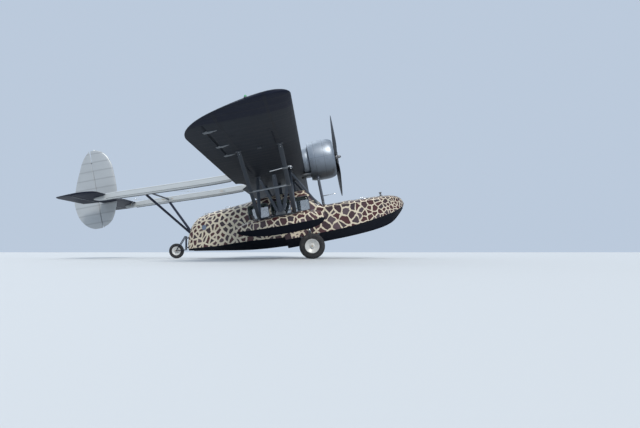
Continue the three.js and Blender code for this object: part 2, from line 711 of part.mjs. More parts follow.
function finPanel() {
  return loft(FIN_TABLE.map(([z, le, te, share]) =>
    foilRing(le, te, FIN_THICKNESS * share, 0, (x, side) => vec(x, side, z))));
}

function makeFin() {
  const whole = finPanel();
  const wide = 400;
  const tall = 3000;
  const front = box(vec(RUDDER_HINGE + RUDDER_NOSE + RUNNING, -wide, -tall), vec(0, wide, tall));
  const rear = box(vec(-9000, -wide, -tall), vec(RUDDER_HINGE, wide, tall));
  const stock = rod(vec(RUDDER_HINGE, 0, -430), vec(RUDDER_HINGE, 0, 1600), RUDDER_NOSE, 10);
  let fin = cut(whole.intersect(front), stabilizerGrown());
  let rudder = join(whole.intersect(rear), stock);
  [fin, rudder] = hinge(fin, rudder, { origin: vec(RUDDER_HINGE, 0, 0), axis: Z_AXIS,
    stations: [-250, 620, 1380], nose: RUDDER_NOSE, forward: X_AXIS, reach: 75 });
  add('fin', fin, SILVER);
  add('rudder', rudder, SILVER, vec(RUDDER_HINGE, 0, 0));
}

function stabilizerGrown() {
  const rear = STABILIZER.hinge + ELEVATOR_NOSE + RUNNING - SEAT;
  return tailPanel(SEAT).intersect(box(vec(rear, -3000, -500), vec(0, 3000, 900)));
}

// Wing and float bracing. All are given for the left side.
const floatGrown = floatShell(SEAT);

function makeFloats() {
  addPair('float', floatShell(), HIDE);
}

function outriggerFrame() {
  const rail = rod(vec(-1450, FLOAT_Y, RAIL_Z), vec(-400, FLOAT_Y, RAIL_Z), 26);
  const legs = [
    [vec(-920, 520, -1525), vec(-490, FLOAT_Y, RAIL_Z)],
    [vec(-920, 520, -1525), vec(-1120, FLOAT_Y, RAIL_Z)],
    [vec(-2100, 480, -1470), vec(-1400, FLOAT_Y, RAIL_Z)],
  ].map(([foot, end]) => strut(foot, end, 84, 46));
  return cut(join(rail, ...legs), hullGrown, floatGrown);
}

function makeBracing() {
  const outrigger = outriggerFrame();
  addPair('outrigger', outrigger, STRUT_GREY);
  const outriggerGrown = join(outrigger, outrigger.translate([0, 0, SEAT]), outrigger.translate([0, 0, 2 * SEAT]));
  const frontFoot = vec(-450, FLOAT_Y, RAIL_Z + 6);
  const rearFoot = vec(-1385, FLOAT_Y, RAIL_Z + 6);
  const trim = (shape) => cut(shape, wingGrown, floatGrown, outriggerGrown);

  const inner = (foot, spar) => trim(strut(
    foot.clone().setY(FLOAT_Y - 42), vec(spar, 1215, wingZ(spar, 1215, -1) + 40), 92, 44));
  addPair('float_strut_front', inner(frontFoot, FRONT_SPAR), STRUT_GREY);
  addPair('float_strut_rear', inner(rearFoot, REAR_SPAR), STRUT_GREY);

  const lift = (foot, spar) => [foot.clone().setY(FLOAT_Y + 46), vec(spar, 4750, wingZ(spar, 4750, -1) + 40)];
  const [front, rear] = [lift(frontFoot, FRONT_SPAR), lift(rearFoot, REAR_SPAR)];
  const part = 0.44;
  const along = ([a, b]) => a.clone().lerp(b, part);
  const frame = join(strut(...front, 100, 46), strut(...rear, 92, 44), rod(along(front), along(rear), 20));
  addPair('lift_struts', trim(frame), STRUT_GREY);

  const top = (spar) => vec(spar, 1060, wingZ(spar, 1060, -1) + 40);
  const knee = vec(-920, 500, -1350);
  const cabane = join(
    strut(top(FRONT_SPAR), knee, 100, 46),
    strut(top(REAR_SPAR), knee, 84, 44),
    strut(vec(-895, 1075, wingZ(-895, 1075, -1) + 40), knee.clone().setX(-915), 130, 50),
    strut(top(FRONT_SPAR), vec(300, 470, -1265), 62, 40),
  );
  addPair('cabane', cut(cabane, wingGrown, hullGrown), STRUT_GREY);
}

function makeEngineStruts() {
  const cowlDisc = turned([[100, 0], [172 - SEAT, 556 + SEAT], [330, 588 + SEAT], [560, COWL_RADIUS + SEAT],
    [780, 586 + SEAT], [780, 0]], vec(0, 0, THRUST_Z), X_AXIS, 36);
  const leg = strut(vec(372, 300, -1200), vec(350, 300, -150), 72, 42);
  const left = cut(leg, hullGrown, cowlDisc);
  const pitot = join(
    rod(vec(368, -300, -870), vec(560, -300, -865), 11),
    rod(vec(540, -300, -865), vec(800, -300, -860), 7));
  add('engine_strut_left', left, STRUT_GREY);
  add('engine_strut_right', join(solid(mirrored(geometryOf(left))), pitot), STRUT_GREY);
}

// Main gear: a V leg from the chine, a shock strut to the hull side and an axle
function makeGear() {
  const knuckle = vec(MAIN.x, MAIN.y - 150, MAIN.z);
  const leg = join(
    strut(vec(110, 470, -1880), knuckle, 62, 40),
    strut(vec(-520, 470, -1890), knuckle, 62, 40),
    rod(knuckle.clone().add(vec(0, -18, 24)), vec(MAIN.x, 540, -1560), 24),
    rod(knuckle.clone().lerp(vec(MAIN.x, 540, -1560), 0.05), knuckle.clone().lerp(vec(MAIN.x, 540, -1560), 0.5), 36),
    rod(knuckle.clone().add(vec(0, -40, 0)), knuckle.clone().add(vec(0, 45, 0)), 42, 12),
    rod(knuckle, vec(MAIN.x, MAIN.y + 72, MAIN.z), MAIN.axle, 12),
  );
  addPair('gear_leg', cut(leg, hullGrown), STRUT_GREY);
  const at = vec(MAIN.x, MAIN.y, MAIN.z);
  const [disc, tyre] = wheelSolids(MAIN, at);
  addPair('wheel', disc, RIM, at);
  addPair('tyre', tyre, RUBBER, at);
}

// Outlines of a disc wheel and its tyre, both turned about the axle line
function wheelProfiles({ radius, rim, half, axle }) {
  const bore = axle + PIN_GAP + 0.3;
  const flange = rim - 20;
  const hubHalf = half * 0.72;
  const disc = [
    [-hubHalf, bore], [-hubHalf, bore + 30], [-half * 0.3, bore + 42], [-half * 0.75, flange],
    [-half * 0.75, rim], [half * 0.75, rim], [half * 0.75, flange], [half * 0.3, bore + 42],
    [hubHalf, bore + 30], [hubHalf, bore], [-hubHalf, bore]];
  const wall = radius - rim;
  const seat = rim + SEAT;
  const tyre = [
    [-half * 0.7, seat], [-half, rim + wall * 0.45], [-half * 0.82, rim + wall * 0.82], [-half * 0.4, radius],
    [half * 0.4, radius], [half * 0.82, rim + wall * 0.82], [half, rim + wall * 0.45], [half * 0.7, seat],
    [-half * 0.7, seat]];
  return [disc, tyre];
}

// A corner of each tyre's outline points straight down, so that it rests on its full radius.
function wheelSolids(size, at) {
  return wheelProfiles(size).map((profile) => solid(
    geometryOf(turned(profile, vec(0, 0, 0), Y_AXIS, 20)).rotateY(PITCH).translate(at.x, at.y, at.z)));
}

// Tail wheel: a fork that swivels on its post, with a lower and an upper arm on each side
function makeTailWheel() {
  const at = vec(TAIL.x, 0, TAIL.z);
  const [disc, tyre] = wheelSolids(TAIL, at);
  const side = TAIL.half + 22;
  const low = postPoint(POST_BOTTOM - 22);
  const high = postPoint(POST_TOP + 22);
  const pieces = [
    rod(postPoint(POST_BOTTOM - 34), postPoint(POST_TOP + 34), POST.bore, 10),
    rod(postPoint(POST_BOTTOM - 34), postPoint(POST_BOTTOM - 6), 34, 10),
    rod(postPoint(POST_TOP + 6), postPoint(POST_TOP + 34), 34, 10),
    rod(vec(at.x, -side, at.z), vec(at.x, side, at.z), TAIL.axle, 12),
  ];
  for (const end of [low, high]) {
    const rear = end.clone().addScaledVector(LEVEL_AFT, 24);
    pieces.push(rod(rear.clone().setY(-side), rear.clone().setY(side), 13, 6));
    for (const y of [-side, side]) {
      pieces.push(rod(rear.clone().setY(y), vec(at.x, y, at.z), 13, 6));
    }
  }
  for (const y of [-side, side]) pieces.push(rod(vec(at.x, y - 12, at.z), vec(at.x, y + 12, at.z), 24, 8));
  add('tail_fork', join(...pieces), STEEL, postPoint(0));
  add('tail_wheel', disc, RIM, at);
  add('tail_tyre', tyre, RUBBER, at);
}

function makeMooringPost() {
  const post = turned([
    [-60, 0], [-60, 62], [12, 62], [20, 30], [95, 26], [104, 44], [122, 44], [122, 0]],
  vec(2120, 0, -1158), Z_AXIS, 14);
  add('mooring_post', cut(post, hullGrown), STEEL);
}

makeHull();
makeInterior();
makeWingCentre();
makeWing();
makeEngine();
makeBooms();
makeTailplane();
makeFin();
makeFloats();
makeBracing();
makeEngineStruts();
makeGear();
makeTailWheel();
makeMooringPost();

// Turn to the parked attitude, with the tyres on z = 0 and the origin under the middle of the machine.
const parked = new THREE.Group();
airframe.rotation.y = -PITCH;
parked.add(airframe);
parked.updateMatrixWorld(true);
const bounds = new THREE.Box3().setFromObject(parked, true);
airframe.position.x = -(bounds.min.x + bounds.max.x) / 2;
airframe.position.z = -bounds.min.z;

export default parked;
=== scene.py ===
"""Looks of a twin-boom, parasol-wing flying boat on wheels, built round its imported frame.

Sizes are in metres, in the machine's own axes: x runs forward from the wing's leading edge, y to the
left wing tip and z up. A finished piece is turned to the parked attitude when it is delivered.
"""
import json
import logging
import math
from collections.abc import Callable, Iterator, Sequence
from contextlib import contextmanager
from dataclasses import dataclass
from enum import Enum
from typing import ClassVar

import bmesh
import bpy
import numpy as np
from mathutils import Matrix, Vector


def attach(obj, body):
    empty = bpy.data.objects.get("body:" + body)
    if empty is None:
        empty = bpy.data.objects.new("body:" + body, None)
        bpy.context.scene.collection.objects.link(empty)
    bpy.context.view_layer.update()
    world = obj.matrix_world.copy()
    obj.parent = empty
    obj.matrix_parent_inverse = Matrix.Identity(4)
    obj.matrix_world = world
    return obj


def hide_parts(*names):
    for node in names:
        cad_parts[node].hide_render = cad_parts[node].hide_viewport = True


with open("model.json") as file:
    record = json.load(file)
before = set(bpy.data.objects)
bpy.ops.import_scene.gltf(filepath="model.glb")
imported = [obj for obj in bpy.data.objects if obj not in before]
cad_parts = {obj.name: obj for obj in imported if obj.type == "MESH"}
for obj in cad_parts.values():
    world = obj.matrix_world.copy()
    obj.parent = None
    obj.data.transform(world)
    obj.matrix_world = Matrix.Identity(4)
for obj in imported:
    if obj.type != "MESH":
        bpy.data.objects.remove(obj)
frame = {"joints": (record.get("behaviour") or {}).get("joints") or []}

log = logging.getLogger("flying_boat")

Pair = tuple[float, float]
Point = tuple[float, float, float] | Vector
Colour = tuple[float, float, float, float]
Piece = bpy.types.Object

TAU = 2.0 * math.pi
X_LINE, Y_LINE, Z_LINE = (1.0, 0.0, 0.0), (0.0, 1.0, 0.0), (0.0, 0.0, 1.0)
SIDES = (-1, 1)
MIRROR = Matrix.Scale(-1, 4, Y_LINE)


class Side(Enum):
    """The two sides of the machine, with the sign of y on each."""

    LEFT = 1
    RIGHT = -1

    @property
    def word(self) -> str:
        """The side as it stands in a piece's name."""
        return self.name.lower()


class Body(str, Enum):
    """The bodies that pieces ride on. A name with {} stands for one on each side."""

    AIRFRAME = "airframe"
    AILERON = "aileron_{}"
    ELEVATOR = "elevator_{}"
    RUDDER = "rudder"
    PROPELLER = "propeller"
    HATCH = "entry_hatch"
    MAIN_WHEEL = "main_wheel_{}"
    TAIL_FORK = "tail_fork"
    TAIL_WHEEL = "tail_wheel"


@dataclass(frozen=True)
class BodyAxes:
    """The machine's own axes in the parked frame."""

    origin: Vector
    forward: Vector
    up: Vector

    @classmethod
    def from_joints(cls, joints: list[dict], prop_plane: float, thrust: float) -> "BodyAxes":
        """Finds the axes from the propeller shaft and the rudder hinge.

        Args:
            joints: The frame's joints.
            prop_plane: Distance of the propeller's plane ahead of the leading edge.
            thrust: Height of the shaft over the leading edge.

        Returns:
            The axes, with their origin on the leading edge.
        """
        named = {joint["name"]: joint for joint in joints}
        forward = Vector(named["propeller_spin"]["axis"]).normalized()
        up = Vector(named["rudder_hinge"]["axis"]).normalized()
        return cls(Vector(named["propeller_spin"]["pos_m"]) - forward * prop_plane - up * thrust, forward, up)

    @property
    def left(self) -> Vector:
        """The way to the left wing tip."""
        return self.up.cross(self.forward)

    def matrix(self) -> Matrix:
        """The transform from the machine's axes to the parked frame."""
        turn = Matrix((self.forward, self.left, self.up)).transposed().to_4x4()
        return Matrix.Translation(self.origin) @ turn

    def parked(self, direction: Point) -> Vector:
        """A direction of the parked frame, in the machine's own axes."""
        return self.matrix().to_3x3().inverted() @ Vector(direction)


PROP_PLANE = 1.005
THRUST_Z = 0.245
AXES = BodyAxes.from_joints(frame["joints"], PROP_PLANE, THRUST_Z)


# Shader graphs

def arithmetic(operation: str, swapped: bool = False) -> "Callable[..., Signal]":
    """Makes a method that adds one arithmetic node.

    Args:
        operation: The node's operation.
        swapped: Whether the other value comes first.

    Returns:
        The method.
    """
    def method(signal: "Signal", *others: "Signal | float") -> "Signal":
        """The node's result."""
        return signal.graph.math(operation, *((*others, signal) if swapped else (signal, *others)))
    return method


@dataclass
class Signal:
    """A shader socket that takes part in arithmetic. Of two masks, | takes the greater and & the lesser."""

    graph: "Graph"
    socket: bpy.types.NodeSocket

    __add__ = __radd__ = arithmetic("ADD")
    __sub__ = arithmetic("SUBTRACT")
    __rsub__ = arithmetic("SUBTRACT", True)
    __mul__ = __rmul__ = arithmetic("MULTIPLY")
    __abs__ = arithmetic("ABSOLUTE")
    __or__ = arithmetic("MAXIMUM")
    __and__ = arithmetic("MINIMUM")


class Graph:
    """The node graph of one material."""

    def __init__(self, name: str) -> None:
        """Starts an empty material of that name.

        Args:
            name: The material's name.
        """
        self.material = bpy.data.materials.new(name)
        self.material.use_nodes = True
        self.tree = self.material.node_tree
        self.tree.nodes.clear()
        self.places: tuple[Signal, ...] = ()

    def node(self, kind: str, settings: dict | None = None, inputs: dict | None = None) -> bpy.types.Node:
        """Adds a node.

        Args:
            kind: The node's type.
            settings: Its own settings, set first.
            inputs: A value or a signal for each socket, by name or index.

        Returns:
            The node.
        """
        made = self.tree.nodes.new("ShaderNode" + kind)
        for key, value in (settings or {}).items():
            setattr(made, key, value)
        for key, value in (inputs or {}).items():
            if isinstance(value, Signal):
                self.tree.links.new(value.socket, made.inputs[key])
            else:
                made.inputs[key].default_value = value
        return made

    def signal(self, kind: str, settings: dict | None, inputs: dict | None, output: int | str = 0) -> Signal:
        """One output of a new node."""
        return Signal(self, self.node(kind, settings, inputs).outputs[output])

    def math(self, operation: str, *values: "Signal | float") -> Signal:
        """One arithmetic step on numbers."""
        return self.signal("Math", {"operation": operation}, dict(enumerate(values)))

    def vector(self, x: "Signal | float", y: "Signal | float", z: "Signal | float" = 0.0) -> Signal:
        """A vector from its three parts."""
        return self.signal("CombineXYZ", None, {0: x, 1: y, 2: z})

    def step(self, value: Signal, low: float, high: float) -> Signal:
        """A soft step from 0 to 1 between two values."""
        ends = {"Value": value, "From Min": low, "From Max": high}
        return self.signal("MapRange", {"interpolation_type": "SMOOTHSTEP"}, ends)

    def band(self, value: Signal, centre: float, half: float, soft: float) -> Signal:
        """1 near a value and 0 away from it."""
        return 1.0 - self.step(abs(value - centre), half - soft, half + soft)

    def mix(self, factor: "Signal | float", first: "Signal | Colour", second: "Signal | Colour") -> Signal:
        """A blend of two colours."""
        return self.signal("Mix", {"data_type": "RGBA"}, {0: factor, 6: first, 7: second}, 2)

    def noise(self, where: Signal, scale: float, detail: float = 3.0, roughness: float = 0.55,
              offset: float = 0.0) -> Signal:
        """Soft noise between 0 and 1.

        Args:
            where: The point it is read at.
            scale: How fine it is.
            detail: How many finer layers it has.
            roughness: The share of each finer layer.
            offset: A shift that gives another noise of the same kind.

        Returns:
            The noise.
        """
        if offset:
            where = self.signal("VectorMath", {"operation": "ADD"}, {0: where, 1: (offset,) * 3})
        return self.signal("TexNoise", None,
                           {"Vector": where, "Scale": scale, "Detail": detail, "Roughness": roughness})

    def cells(self, where: Signal, feature: str, scale: float, randomness: float, output: str,
              dimensions: str = "2D") -> Signal:
        """A cell pattern, as the distance, the place or the colour of each cell."""
        return self.signal("TexVoronoi", {"voronoi_dimensions": dimensions, "feature": feature},
                           {"Vector": where, "Scale": scale, "Randomness": randomness}, output)

    def part(self, colour: Signal, index: int) -> Signal:
        """One channel of a colour."""
        return self.signal("SeparateColor", None, {0: colour}, index)

    def object_point(self) -> Signal:
        """The point on the piece, in the parked frame."""
        return self.signal("TexCoord", None, None, "Object")

    def place(self) -> tuple[Signal, ...]:
        """The point on the piece, as x, y and z in the machine's own axes.

        Returns:
            The x, y and z of the point.
        """
        if not self.places:
            point = self.object_point()
            self.places = tuple(self.along(point, axis) for axis in (AXES.forward, AXES.left, AXES.up))
        return self.places

    def along(self, point: Signal, axis: Vector) -> Signal:
        """The distance of a point along one of the machine's axes."""
        made = self.signal("VectorMath", {"operation": "DOT_PRODUCT"}, {0: point, 1: tuple(axis)}, "Value")
        return made - AXES.origin.dot(axis)

    def bump(self, height: Signal, distance: float, strength: float = 1.0) -> Signal:
        """A normal from a height, where 1 stands `distance` proud."""
        return self.signal("Bump", None, {"Height": height, "Distance": distance, "Strength": strength})

    def surface(self, **sockets: "Signal | float | Colour") -> None:
        """Ends the graph in a surface shader with those sockets."""
        names = {key.replace("_", " ").title().replace("Ior", "IOR"): value for key, value in sockets.items()}
        self.node("OutputMaterial", None, {"Surface": self.signal("BsdfPrincipled", None, names)})


def tone(colour: Colour, gain: float) -> Colour:
    """The colour made lighter or darker."""
    return (colour[0] * gain, colour[1] * gain, colour[2] * gain, 1.0)


# Finishes

@dataclass(frozen=True)
class Finish:
    """A surface finish with a material of its own. Each kind draws its own nodes on a graph."""

    name: str

    def material(self) -> bpy.types.Material:
        """The finish's material, drawn on its first use.

        Returns:
            The material.
        """
        known = bpy.data.materials.get(self.name)
        if known is not None:
            return known
        graph = Graph(self.name)
        self.draw(graph)
        return graph.material

    def draw(self, g: Graph) -> None:
        """Draws the finish's nodes on the graph g."""
        raise NotImplementedError


@dataclass(frozen=True)
class HidePaint(Finish):
    """Cream enamel with brown hide patches that shrink towards bow and stern."""

    cell: float = 0.27
    centre_y: float = 0.0
    level: float = -2.18
    shift: float = 0.0
    gap: float = 0.096
    aft_gap: float = 0.072
    bow_gain: float = 0.031
    bow_rate: float = 1.535
    stern_gain: float = 0.218
    stern_rate: float = 0.577
    other_side: float = 40.0
    # The middle of the pale, spotted zone, on the map of the patches.
    pale_x: float = -0.9191527
    pale_girth: float = -0.1557357
    cream: Colour = (0.68, 0.60, 0.455, 1.0)
    maroon: Colour = (0.060, 0.009, 0.010, 1.0)
    brown: Colour = (0.032, 0.015, 0.021, 1.0)
    # The purplish grey below is painted sheen, laid on some brown patches at random.
    dusty: Colour = (0.105, 0.072, 0.084, 1.0)

    def draw(self, g: Graph) -> None:
        """Draws the patches on g, on a map of the hull that is finer at both ends.

        Args:
            g: The graph.
        """
        x, y, z = g.place()
        point = g.object_point()
        hull = self.centre_y == 0.0
        girth = z - abs(abs(y) - self.centre_y) - self.level
        across, along = girth, x
        if hull:
            bow = g.math("EXPONENT", x * self.bow_rate) * self.bow_gain
            stern = g.math("EXPONENT", x * -self.stern_rate) * self.stern_gain
            along = (x + bow * g.math("COSINE", girth * self.bow_rate)
                     - stern * g.math("COSINE", girth * self.stern_rate))
            across = (girth + bow * g.math("SINE", girth * self.bow_rate)
                      + stern * g.math("SINE", girth * self.stern_rate))
        wobble = g.noise(point, 1.3 / self.cell, 2.0) - 0.5
        waver = g.noise(point, 2.1 / self.cell, 2.0, 0.5, 7.7) - 0.5
        ragged = g.noise(point, 6.5 / self.cell, 2.0, 0.6) - 0.5
        left = g.step(y, -0.001, 0.001) * self.other_side
        along = along + wobble * (0.40 * self.cell) + left + self.shift
        where = g.vector(along, across + waver * (0.42 * self.cell))
        scale = 1.0 / self.cell
        edge = g.cells(where, "DISTANCE_TO_EDGE", scale, 0.95, "Distance") + ragged * 0.045
        tint = g.cells(where, "F1", scale, 0.95, "Color")
        gap = self.gap + (g.noise(point, 2.2 / self.cell, 2.0) - 0.5) * 0.20
        if hull:
            gap = gap + g.step(x * -1.0, 0.6, 2.6) * self.aft_gap
        patch = g.step(edge - gap, -0.010, 0.012)
        if hull:
            patch = self.pale_zone(g, patch, where, left)
        patch = patch & g.step(abs(abs(y) - self.centre_y) + (wobble * 0.02), 0.012, 0.020)
        dark = g.mix(g.step(g.part(tint, 0), 0.25, 0.75), self.maroon, self.brown)
        # Painted sheen: some patches take the purplish grey.
        dark = g.mix(g.step(g.part(tint, 1), 0.60, 0.95) * 0.7, dark, self.dusty)
        grime = g.noise(g.vector(x * 0.6, y, z * 3.0), 4.0, 4.0)
        pale = g.mix(g.step(grime, 0.45, 0.85) * 0.3, self.cream, tone(self.cream, 0.74))
        seam = g.math("PINGPONG", x + 0.2, 0.46)
        sheet = g.step(seam, 0.0, 0.004) * 0.5 + g.noise(point, 3.0, 1.0) * 0.35
        g.surface(base_color=g.mix(patch, pale, dark), roughness=0.36 + grime * 0.16, coat_weight=0.25,
                  coat_roughness=0.14, normal=g.bump(sheet, 0.003, 0.6))

    def pale_zone(self, g: Graph, patch: Signal, where: Signal, left: Signal) -> Signal:
        """Breaks the patches low on the side, at the step, into small spots.

        Args:
            g: The graph.
            patch: The mask of the patches.
            where: The point on the patch map.
            left: How far the left side's map is shifted.

        Returns:
            The new mask.
        """
        cell = g.cells(where, "F1", 1.0 / self.cell, 0.95, "Position")
        split = g.node("SeparateXYZ", None, {0: cell})
        fore = (Signal(g, split.outputs[0]) - left - self.pale_x) * 1.9
        rise = (Signal(g, split.outputs[1]) - self.pale_girth) * 4.2
        inside = 1.0 - g.step(g.math("SQRT", fore * fore + rise * rise), 0.99, 1.01)
        small = g.step(g.cells(where, "DISTANCE_TO_EDGE", 2.3 / self.cell, 0.9, "Distance"), 0.25, 0.28)
        return (patch & (1.0 - inside)) | (small & inside)


@dataclass(frozen=True)
class Enamel(Finish):
    """Painted metal with a little orange peel and dust."""

    colour: Colour = (0.5, 0.5, 0.5, 1.0)
    gloss: float = 0.35
    metal: float = 0.0
    coat: float = 0.2
    wear: float = 0.25
    shine: float = 0.4

    def draw(self, g: Graph) -> None:
        """Draws the paint, its dust and its streaks on g.

        Args:
            g: The graph.
        """
        x, y, z = g.place()
        point = g.object_point()
        streak = g.noise(g.vector(x * 0.5, y * 2.0, z * 2.0), 5.0, 4.0)
        dusty = tone(self.colour, 1.35 if max(self.colour[:3]) < 0.4 else 0.78)
        peel = g.noise(point, 220.0, 1.0) * 0.3 + g.noise(point, 9.0, 2.0)
        g.surface(base_color=g.mix(g.step(streak, 0.42, 0.8) * self.wear, self.colour, dusty),
                  roughness=self.gloss + streak * 0.14, metallic=self.metal, specular_ior_level=self.shine,
                  coat_weight=self.coat, coat_roughness=0.1, normal=g.bump(peel, 0.0012, 0.35))


@dataclass(frozen=True)
class DopedFabric(Finish):
    """Doped cloth over ribs, with a tape on each rib and on each spar."""

    colour: Colour
    rib_pitch: float
    rib_start: float
    spars: tuple[float, ...]
    upright: bool = False
    metal: float = 0.0
    gloss: float = 0.42
    shine: float = 0.25
    tip_start: float | None = None
    tip_colour: Colour = (0.007, 0.010, 0.022, 1.0)

    def draw(self, g: Graph) -> None:
        """Draws the cloth, its tapes and the dirt behind them on g.

        Args:
            g: The graph.
        """
        x, y, z = g.place()
        point = g.object_point()
        span = z if self.upright else abs(y)
        from_rib = g.math("PINGPONG", span - self.rib_start, self.rib_pitch / 2.0)
        tape = 1.0 - g.step(from_rib, 0.016, 0.021)
        for spar in self.spars:
            tape = tape | g.band(x, spar, 0.028, 0.003)
        stitch = g.step(g.math("PINGPONG", x, 0.03), 0.0, 0.006)
        lacing = (1.0 - g.step(from_rib, 0.002, 0.004)) * (1.0 - stitch)
        streaks = g.noise(g.vector(x * 0.35, y * 2.6, z), 6.0, 4.0)
        light = tone(self.colour, 1.5 if max(self.colour[:3]) < 0.3 else 0.84)
        colour = g.mix(g.step(streaks, 0.4, 0.85) * 0.45, self.colour, light)
        if self.tip_start is not None:
            colour = g.mix(g.step(abs(y), self.tip_start, self.tip_start + 0.01), colour, self.tip_colour)
        colour = g.mix(tape * 0.45, colour, tone(self.colour, 0.62 if self.upright else 0.55))
        height = tape * 0.5 + g.noise(point, 420.0, 1.0) * 0.06 + lacing * 0.4 + streaks * 0.2
        g.surface(base_color=colour, roughness=self.gloss + streaks * 0.16 - tape * 0.05, metallic=self.metal,
                  specular_ior_level=self.shine, normal=g.bump(height, 0.0022, 0.8))


@dataclass(frozen=True)
class BareMetal(Finish):
    """Metal with fine scratches and a little staining."""

    colour: Colour
    gloss: float
    scratch: float

    def draw(self, g: Graph) -> None:
        """Draws the scratches and stains on g.

        Args:
            g: The graph.
        """
        point = g.object_point()
        fine = g.noise(point, 95.0, 3.0)
        stain = g.noise(point, 4.0, 4.0)
        g.surface(base_color=g.mix(g.step(stain, 0.4, 0.75) * 0.5, self.colour, tone(self.colour, 0.72)),
                  metallic=1.0, roughness=self.gloss + fine * self.scratch + stain * 0.08,
                  normal=g.bump(fine, 0.0008, 0.3))


@dataclass(frozen=True)
class CowlMetal(Finish):
    """Spun sheet metal, brushed round its axis, with its seams, a painted highlight on its top and painted
    shade on its foot.
    """

    colour: Colour = (0.27, 0.305, 0.35, 1.0)
    # pale is a painted highlight for the top and shade is painted shade for the foot.
    pale: Colour = (0.52, 0.56, 0.60, 1.0)
    shade: Colour = (0.10, 0.115, 0.135, 1.0)
    seams: tuple[float, ...] = (0.172, 0.35, 0.62)
    doors: int = 8

    def draw(self, g: Graph) -> None:
        """Draws the brushing, seams and stains on g, with a painted highlight on the top and painted shade on
        the foot.

        Args:
            g: The graph.
        """
        x, y, z = g.place()
        angle = g.math("ARCTAN2", y, z - THRUST_Z)
        brush = g.noise(g.vector(x * 60.0, angle * 1.4), 2.2, 4.0)
        stain = g.noise(g.vector(x * 2.0, angle * 1.2), 2.5, 4.0)
        line = g.band(x, self.seams[0], 0.004, 0.002)
        for seam in self.seams[1:]:
            line = line | g.band(x, seam, 0.003, 0.0015)
        joint = 1.0 - g.step(g.math("PINGPONG", angle, TAU / self.doors / 2.0), 0.003, 0.006)
        line = line | (joint & g.step(x, 0.10, 0.11))
        height = z - THRUST_Z
        # Painted highlight over the top and painted shade under the foot.
        colour = g.mix(g.step(height, 0.10, 0.50) * 0.55, self.colour, self.pale)
        colour = g.mix(g.step(height * -1.0, 0.02, 0.48) * 0.8, colour, self.shade)
        colour = g.mix(g.step(stain, 0.42, 0.8) * 0.4, colour, tone(self.colour, 0.6))
        colour = g.mix(line * 0.8, colour, tone(self.colour, 0.2))
        g.surface(base_color=colour, metallic=0.85, roughness=0.30 + brush * 0.16 + stain * 0.06,
                  normal=g.bump(brush * 0.2 - line, 0.0015, 0.6))


@dataclass(frozen=True)
class Rubber(Finish):
    """Black rubber with dust in its hollows."""

    colour: Colour = (0.022, 0.022, 0.024, 1.0)
    dusty: Colour = (0.085, 0.078, 0.07, 1.0)

    def draw(self, g: Graph) -> None:
        """Draws the grain and the dust on g.

        Args:
            g: The graph.
        """
        point = g.object_point()
        dust = g.noise(point, 14.0, 5.0)
        g.surface(base_color=g.mix(g.step(dust, 0.45, 0.8) * 0.5, self.colour, self.dusty),
                  roughness=0.72 + dust * 0.2, normal=g.bump(g.noise(point, 160.0, 2.0), 0.001, 0.5))


@dataclass(frozen=True)
class Leather(Finish):
    """Brown hide leather with a pebbled grain, paler where it is sat on."""

    colour: Colour = (0.15, 0.062, 0.032, 1.0)

    def draw(self, g: Graph) -> None:
        """Draws the grain, the worn places and painted shade in the creases on g.

        Args:
            g: The graph.
        """
        point = g.object_point()
        grain = g.cells(point, "F1", 260.0, 1.0, "Distance", "3D")
        worn = g.noise(point, 5.0, 4.0)
        crease = g.noise(point, 26.0, 4.0, 0.7)
        colour = g.mix(g.step(worn, 0.42, 0.75) * 0.6, self.colour, tone(self.colour, 1.9))
        # Darker in the creases: painted shade.
        colour = g.mix(g.step(crease, 0.58, 0.7) * 0.3, colour, tone(self.colour, 0.5))
        g.surface(base_color=colour, roughness=0.46 + worn * 0.2, coat_weight=0.12, coat_roughness=0.3,
                  normal=g.bump(grain * 0.5 + crease * 0.6, 0.0022, 0.6))


@dataclass(frozen=True)
class Plywood(Finish):
    """Varnished board with long grain."""

    colour: Colour = (0.33, 0.21, 0.11, 1.0)

    def draw(self, g: Graph) -> None:
        """Draws the grain and the butts between boards on g.

        Args:
            g: The graph.
        """
        x, y, z = g.place()
        grain = g.noise(g.vector(x * 1.2, y * 26.0, z), 3.0, 5.0, 0.7)
        butt = 1.0 - g.step(g.math("PINGPONG", y, 0.12), 0.0015, 0.003)
        colour = g.mix(g.step(grain, 0.3, 0.75), self.colour, tone(self.colour, 0.5))
        g.surface(base_color=g.mix(butt * 0.8, colour, tone(self.colour, 0.18)), roughness=0.38 + grain * 0.2,
                  coat_weight=0.3, coat_roughness=0.15, normal=g.bump(grain * 0.3 - butt, 0.001, 0.5))


@dataclass(frozen=True)
class ClearPane(Finish):
    """Thin clear sheet with a faint tint."""

    colour: Colour = (0.045, 0.065, 0.075, 1.0)
    alpha: float = 0.20

    def draw(self, g: Graph) -> None:
        """Draws the clear sheet on g, with a trace of dirt in its gloss.

        Args:
            g: The graph.
        """
        dirt = g.noise(g.object_point(), 6.0, 4.0)
        g.surface(base_color=self.colour, roughness=0.03 + dirt * 0.08, alpha=self.alpha, coat_weight=0.6,
                  coat_roughness=0.03, ior=1.5)


@dataclass(frozen=True)
class LampLens(Finish):
    """Coloured lamp glass with moulded rings."""

    colour: Colour

    def draw(self, g: Graph) -> None:
        """Draws the coloured glass on g.

        Args:
            g: The graph.
        """
        flute = g.noise(g.object_point(), 120.0, 1.0)
        g.surface(base_color=g.mix(flute * 0.3, self.colour, tone(self.colour, 1.6)),
                  roughness=0.12 + flute * 0.05, coat_weight=0.8, normal=g.bump(flute, 0.001, 0.4))


